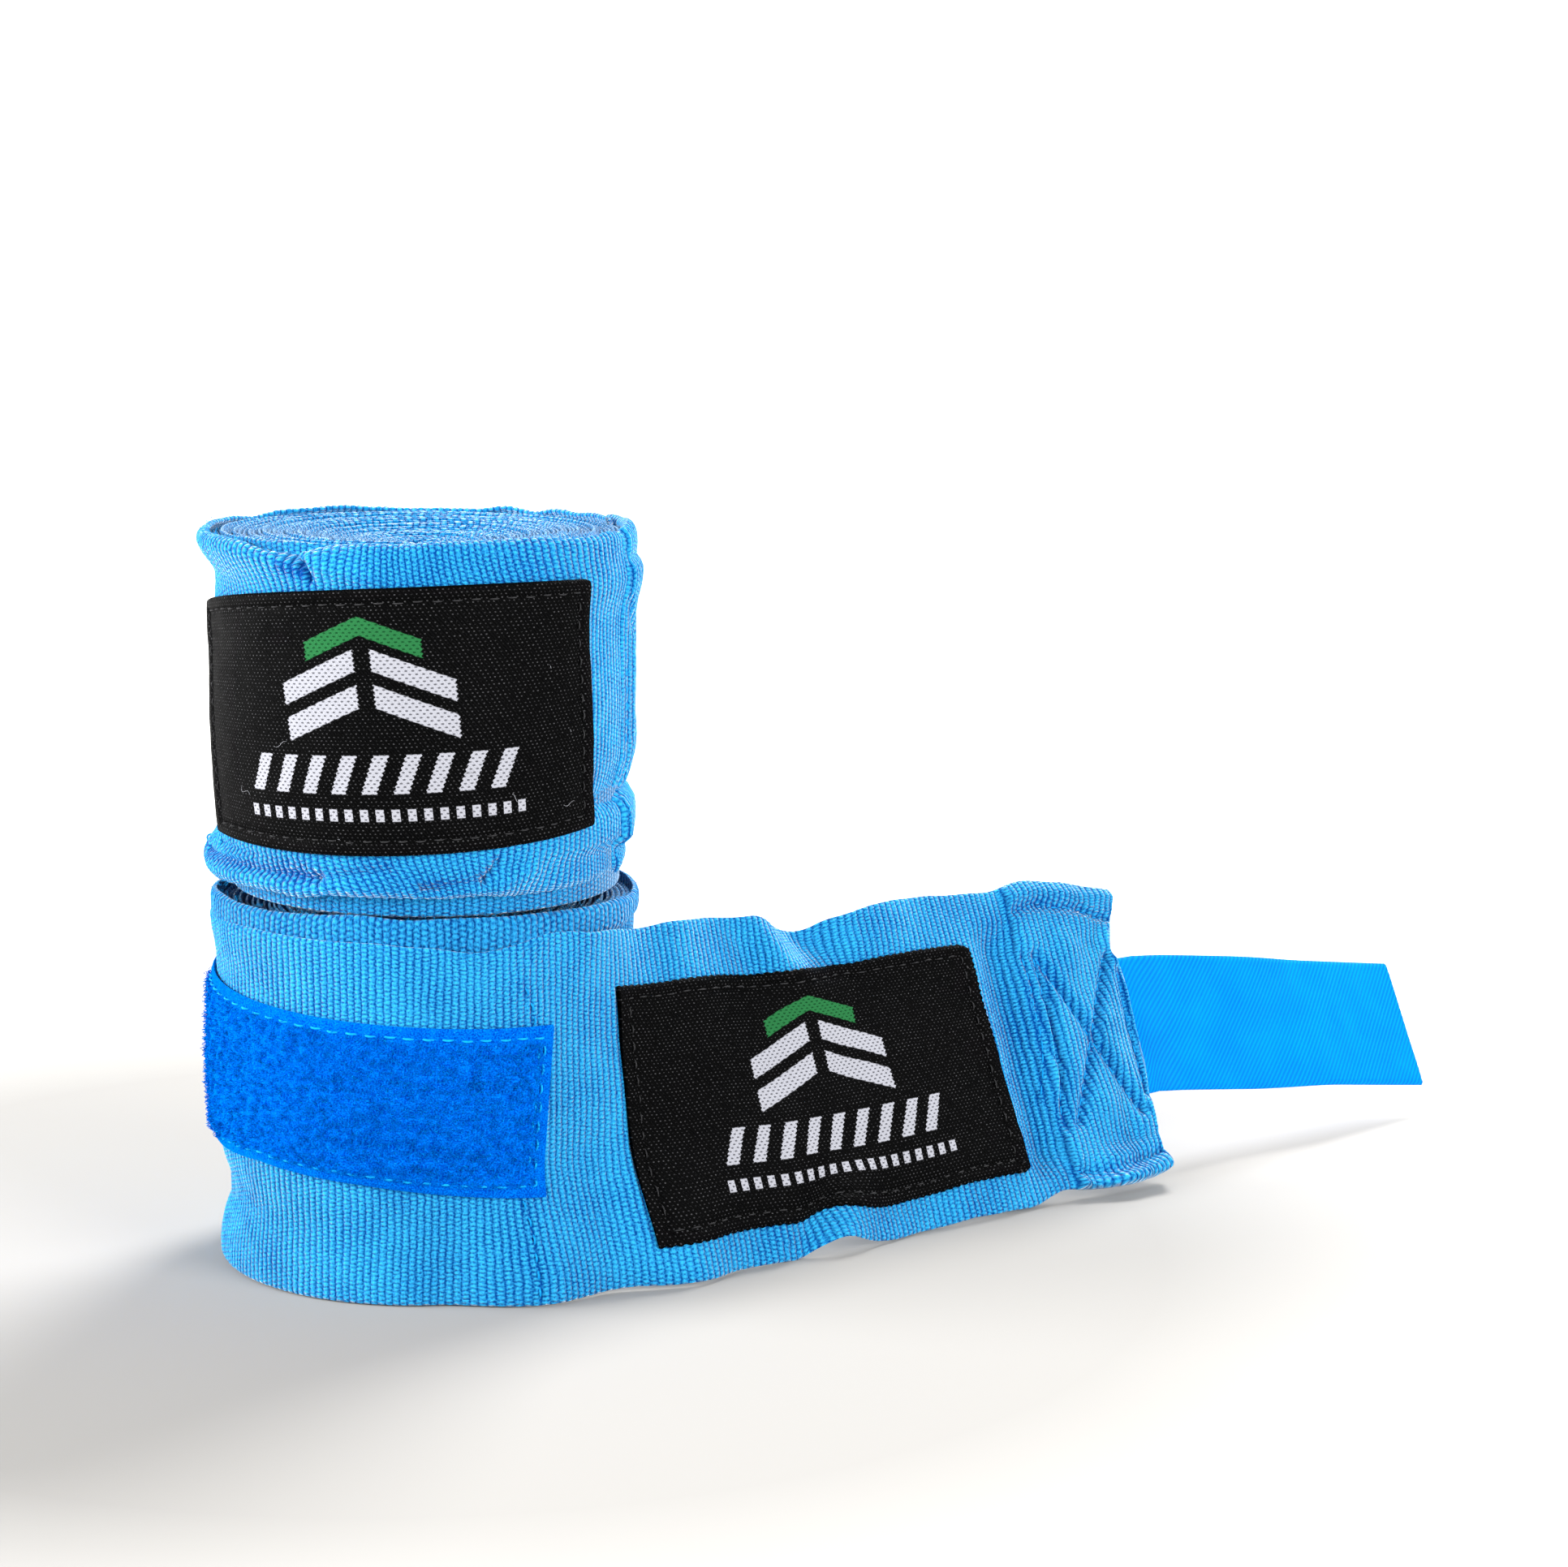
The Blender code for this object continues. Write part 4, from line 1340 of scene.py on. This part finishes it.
def upper_fold_relief(s, v):
    """The upper wrap's folded end, puffed up between its lines of stitching."""
    on = smooth((s - arc(UPPER_FOLD) - 0.2) / 1.4) * smooth((arc(UPPER_END) + 0.3 - s) / 1.2)
    puff = 0.8 + 0.2 * noise(s / 5.0, v / 6.0, 9)
    return 1.2 * on * quilted(s, v, puff, ((UPPER_BOX, 0.7, 0.8), (UPPER_HEMS, 0.6, 0.8)))


def upper_drift(s, v):
    """How far the ribs are pulled aside by the creases at the two edges."""
    left = bump(s, -26.0, 13.0)
    high = 3.4 * left * smooth((v - 13.0) / 12.0) - 1.2 * bump(s, -6.0, 6.0) * smooth((v - 15.0) / 10.0)
    high = high + 3.6 * bump(s, 12.0, 16.0) * smooth((v - 10.0) / 15.0)
    low = smooth((-17.0 - v) / 8.0) * (2.8 * bump(s, -2.0, 12.0) - 2.0 * bump(s, 18.0, 6.0))
    return high - low + 0.25 * noise(s / 8.0, v / 12.0, 2)


upper_rows = rows(-25.0, 25.0, 0.8, 2.6, 0.3)
upper_strip = Strip(
    stations(arc(UPPER_START), arc(UPPER_END), KNIT_STEP), upper_rows, upper_place, BAND_BODY,
    lambda s, v, knit_s: band_relief(s, v, knit_s) + upper_fold_relief(s, v),
    drift=upper_drift, painted_shade=upper_painted_shade,
)
upper_turn = upper_strip.piece("upper_outer_turn_band", BAND, arc(UPPER_START), arc(UPPER_FOLD), every=5)
upper_fold = upper_strip.piece("upper_end_fold_cloth", BAND, arc(UPPER_FOLD), arc(UPPER_END), every=5)
for piece, node, start, end in (
    (upper_turn, "upper_outer_turn", UPPER_START, UPPER_FOLD),
    (upper_fold, "upper_end_fold", UPPER_FOLD, UPPER_END),
):
    riding(piece, "upper_wrap", "band", node)
    cloth_sheet(piece, BAND_WIDTH, arc(end) - arc(start), "laid", ["upper_wound_turns"])


def upper_fold_surface(s, v):
    return over(upper_place, BAND_BODY / 2 + upper_fold_relief(s, v))(s, v)


upper_box = np.concatenate([stitch_line(ends, 1.5, 0.8) for ends in UPPER_BOX + UPPER_HEMS])
riding(
    stitching("upper_box_stitch_thread", upper_fold_surface, upper_box, BOX_SEWING),
    "upper_wrap", "thread", "upper_box_stitching",
)


def upper_top(radius, degrees):
    """The upper roll's top: its turns are dished towards the middle."""
    front = smooth((radius - 24.0) / 3.0) * np.cos(np.radians(degrees))
    return 101.2 + 1.6 * smooth((radius - 5.0) / 17.0) + 0.3 * front


upper_wound = wound_turns(
    "upper_wound_turns", 27.2, UPPER_WOUND_LENGTH, upper_top,
    lambda r, a: 51.9 + 1.6 * smooth((r - 20.0) / 7.0),
    lambda r, a: smooth((r - 20.0) / 6.0) * 1.1 * beside(a, -1, 45.0), 3,
)
riding(upper_wound, "upper_wrap", "band", "upper_wound_band")
cloth_sheet(upper_wound, WOUND_WIDTH, UPPER_WOUND_LENGTH, "laid", ["lower_wound_turns"])

riding(thumb_loop("upper_thumb_loop_webbing", 52.5, 101.0), "upper_wrap", "webbing", "upper_thumb_loop")


def fuzz(name, place, spots, body):
    """Short fibres standing out of the cloth along an edge."""
    riding(loose_ends(name, place, spots, 0.9, 0.03, BAND_THREAD, 0.8), body, "band")


def along_edge(low, high, v, count):
    """Random spots along an edge of the band, as (s, v)."""
    return np.stack([RNG.uniform(low, high, count), RNG.normal(v, 0.25, count)], -1)


fuzz("upper_edge_fibres", upper_place, np.concatenate([
    along_edge(arc(-100.0), arc(70.0), 24.4, 130), along_edge(arc(-100.0), arc(70.0), -24.2, 110),
]), "upper_wrap")
fuzz("lower_edge_fibres", second_place, along_edge(-45.0, 45.0, 24.7, 150), "lower_roll")
fuzz("lower_turn_fibres", band_place, along_edge(-62.0, -1.0, 24.7, 90), "lower_roll")


# The upper label, sewn on a little askew

UPPER_LABEL_HALF = (LABEL_LENGTH / 2, 17.4)


def upper_label_spot(a, b):
    """Angle and height on the roll of a point of the label, given from the label's centre."""
    across, share = a / UPPER_LABEL_HALF[0], 0.5 + 0.5 * b / UPPER_LABEL_HALF[1]
    high = 97.8 + 0.070 * a - 0.0018 * a**2
    low = 62.3 + 0.030 * a + 0.0008 * a**2
    degrees = (-12.2 + 65.8 * across) * share + (-4.7 + 61.3 * across) * (1 - share)
    corner = -0.2 * smooth((across - 0.97) / 0.03) * smooth((share - 0.85) / 0.15)
    return degrees, low + (high - low) * share + corner


def upper_label_place(a, b):
    degrees, z = upper_label_spot(a, b)
    proud = 0.20 + 0.15 * bump(degrees, -74.0, 9.0)
    spanned = z + smooth((degrees - 20.0) / 20.0) * np.maximum(71.0 - z, 0.0)
    return on_roll(upper_radius(degrees, spanned) + BAND_THICK / 2 + LABEL_THICK / 2 + proud, degrees, z)


half_length, half_height = UPPER_LABEL_HALF
label_rows = rows(-half_height, half_height, 0.4)
upper_label = Strip(
    stations(-half_length, half_length, LABEL_STEP), label_rows, upper_label_place, LABEL_THICK,
    label_relief((0.0, 0.0), UPPER_LABEL_HALF),
).piece("upper_label_cloth", LABEL, every=3)
riding(upper_label, "upper_wrap", "label", "upper_label")
cloth_sheet(upper_label, 2 * half_height, LABEL_LENGTH, "laid", ["upper_outer_turn_band"])
upper_hem = stitch_line(border_lines(-half_length, half_length, half_height, HEM_INSET), 1.5, 1.0)
riding(
    stitching("upper_label_thread", upper_label_place, upper_hem, LABEL_SEWING),
    "upper_wrap", "thread", "upper_label_stitching",
)


upper_lint = lint("upper_label_lint", upper_label_place, (-30.0, -15.5), (30.0, 15.5), 9)
riding(upper_lint, "upper_wrap", "thread")


# The upper patch, behind, and the hook tab pressed on to it

UPPER_PATCH = (arc(121.0), arc(264.0))
UPPER_TAB = (arc(117.0), arc(231.0))


def upper_patch_place(s, v):
    """The loop patch round the back of the upper roll."""
    degrees = np.degrees(s / UPPER_RADIUS)
    z = UPPER_MIDDLE - 1.5 + v
    radius = upper_radius(degrees - 360.0, z) + BAND_THICK / 2 + PATCH_THICK / 2 + 0.05
    return on_roll(radius, degrees, z)


patch_low, patch_high = UPPER_PATCH
upper_patch = Strip(
    stations(patch_low, patch_high, 0.4), PATCH_ROWS, upper_patch_place, PATCH_THICK,
    patch_relief(patch_low, patch_high, 2),
).piece("upper_loop_patch_base", PILE, every=5)
# Only the stretch that the tab leaves bare has its loops
upper_pile = pile_loops("upper_loop_patch_pile", upper_patch_place, patch_high - 21.0, patch_high, 2000)
for piece in (upper_patch, upper_pile):
    riding(piece, "upper_wrap", "pile", "upper_loop_patch")
cloth_sheet(upper_patch, PATCH_HEIGHT, patch_high - patch_low, "laid", ["upper_outer_turn_band"])
upper_edge = stitch_line(border_lines(patch_low, patch_high, PATCH_HALF, 0.75), 1.5, 0.9)
upper_patch_stitches = stitching("upper_patch_stitch_thread", upper_patch_place, upper_edge, PATCH_SEWING)
upper_seam_line = stitch_line([(arc(-92.0), -22.0), (arc(-92.5), 22.0)], 1.4, 0.9)
upper_seam = stitching("upper_cross_seam_thread", upper_place, upper_seam_line, SEAM_SEWING)
for piece, node in ((upper_patch_stitches, "upper_patch_stitching"), (upper_seam, "upper_cross_seam")):
    riding(piece, "upper_wrap", "thread", node)


def upper_tab_place(s, v):
    """The closed hook tab: out of the folded end and on to the patch's loops."""
    degrees = np.degrees(s / UPPER_RADIUS)
    z = UPPER_MIDDLE - 1.7 + v - 0.012 * (s - UPPER_TAB[0])
    radius = upper_radius(degrees - 360.0, z) + BAND_THICK / 2 + PATCH_THICK + 0.95 + TAB_THICK / 2
    start = upper_radius(degrees, z) + 0.5
    share = smooth((degrees - 118.0) / 7.0)
    return on_roll(start * (1 - share) + radius * share, degrees, z)


tape_strip = Strip(stations(*UPPER_TAB, 0.4), TAB_ROWS, upper_tab_place, TAB_THICK, tab_relief)
upper_tape = tape_strip.piece("upper_hook_tab_tape", TAPE, every=2)
upper_hook_rows = hook_paths(upper_tab_place, arc(127.0), UPPER_TAB[1] - HOOKLESS_TIP)
upper_hooks = tubes("upper_hook_tab_hooks", upper_hook_rows, HOOK_RADIUS, HOOKS, 3)
for piece in (upper_tape, upper_hooks):
    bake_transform(piece)
    stand_for(piece, "tape", "upper_hook_tab")
cloth_sheet(upper_tape, TAB_HEIGHT, UPPER_TAB[1] - UPPER_TAB[0], "laid", ["upper_loop_patch_base"])


# ---- The stage, light and camera ----


def glowing(n, strength):
    """Makes a material give off white light."""
    n.shader.inputs["Emission Color"].default_value = rgb(1.0, 1.0, 1.0)
    n.feed(n.shader.inputs["Emission Strength"], strength)


def make_stage():
    """A pale floor that brightens away from the object, and a white card far behind it."""
    n = Nodes("pale_floor", 0.9, Specular_IOR_Level=0.0)
    n.shader.inputs["Base Color"].default_value = rgb(0.345, 0.335, 0.32)
    where = n.tree.nodes.new("ShaderNodeTexCoord").outputs["Object"]
    away = n.tree.nodes.new("ShaderNodeVectorMath")
    away.operation = "LENGTH"
    n.feed(away.inputs[0], where)
    glowing(n, Value(n, away.outputs["Value"]).ramp(0.105, 0.33) * 1.3)
    card = Nodes("white_card", 0.9, Specular_IOR_Level=0.0)
    card.shader.inputs["Base Color"].default_value = rgb(0.9, 0.9, 0.9)
    glowing(card, 1.0)
    size, far, low, high = 6.0, 5.9, -0.1, 1.6
    plates = {
        "floor": ([(-size, -size, 0), (size, -size, 0), (size, size, 0), (-size, size, 0)], n.material),
        "backdrop": (
            [(-size, far, low), (size, far, low), (size, far, high), (-size, far, high)], card.material
        ),
    }
    for name, (corners, material) in plates.items():
        mesh = bpy.data.meshes.new(name)
        mesh.from_pydata(corners, [], [(0, 1, 2, 3)])
        mesh.materials.append(material)
        plate = bpy.data.objects.new(name, mesh)
        bpy.context.scene.collection.objects.link(plate)


# Round lamps round the object: place in metres, width in metres and watts
LAMPS = {
    "key": ((0.30, 0.60, 0.76), 0.42, 17.0),
    "front_left": ((-0.62, -0.62, 0.36), 0.60, 5.5),
    "left": ((-0.85, -0.08, 0.30), 0.45, 14.0),
    "front_right": ((0.74, -0.62, 0.38), 0.60, 12.0),
}
LIT_SPOT = Vector((0.03, 0.0, 0.04))
WORLD_LIGHT = 0.52


def area_light(name, place, size, power):
    data = bpy.data.lights.new(name, "AREA")
    data.shape = "DISK"
    data.size = size
    data.energy = power
    lamp = bpy.data.objects.new(name, data)
    lamp.location = place
    lamp.rotation_euler = (LIT_SPOT - Vector(place)).to_track_quat("-Z", "Y").to_euler()
    bpy.context.scene.collection.objects.link(lamp)


def make_light():
    world = bpy.data.worlds.new("studio")
    world.use_nodes = True
    background = world.node_tree.nodes["Background"]
    background.inputs["Color"].default_value = rgb(1.0, 1.0, 1.0)
    background.inputs["Strength"].default_value = WORLD_LIGHT
    bpy.context.scene.world = world
    for name, (place, size, power) in LAMPS.items():
        area_light(name, place, size, power)


CAMERA_PLACE = (0.0503, -0.4892, 0.1531)
CAMERA_DOWN, CAMERA_ROLL = 9.93, 0.54
LENS = 81.2


def make_camera():
    data = bpy.data.cameras.new("camera")
    data.lens = LENS
    data.sensor_width = 36.0
    data.clip_start, data.clip_end = 0.02, 20.0
    camera = bpy.data.objects.new("camera", data)
    pitch = Matrix.Rotation(math.radians(90.0 - CAMERA_DOWN), 4, "X")
    roll = Matrix.Rotation(math.radians(CAMERA_ROLL), 4, "Z")
    camera.matrix_world = Matrix.Translation(CAMERA_PLACE) @ pitch @ roll
    bpy.context.scene.collection.objects.link(camera)
    bpy.context.scene.camera = camera


make_stage()
make_light()
make_camera()
bpy.context.scene.view_settings.view_transform = "Standard"
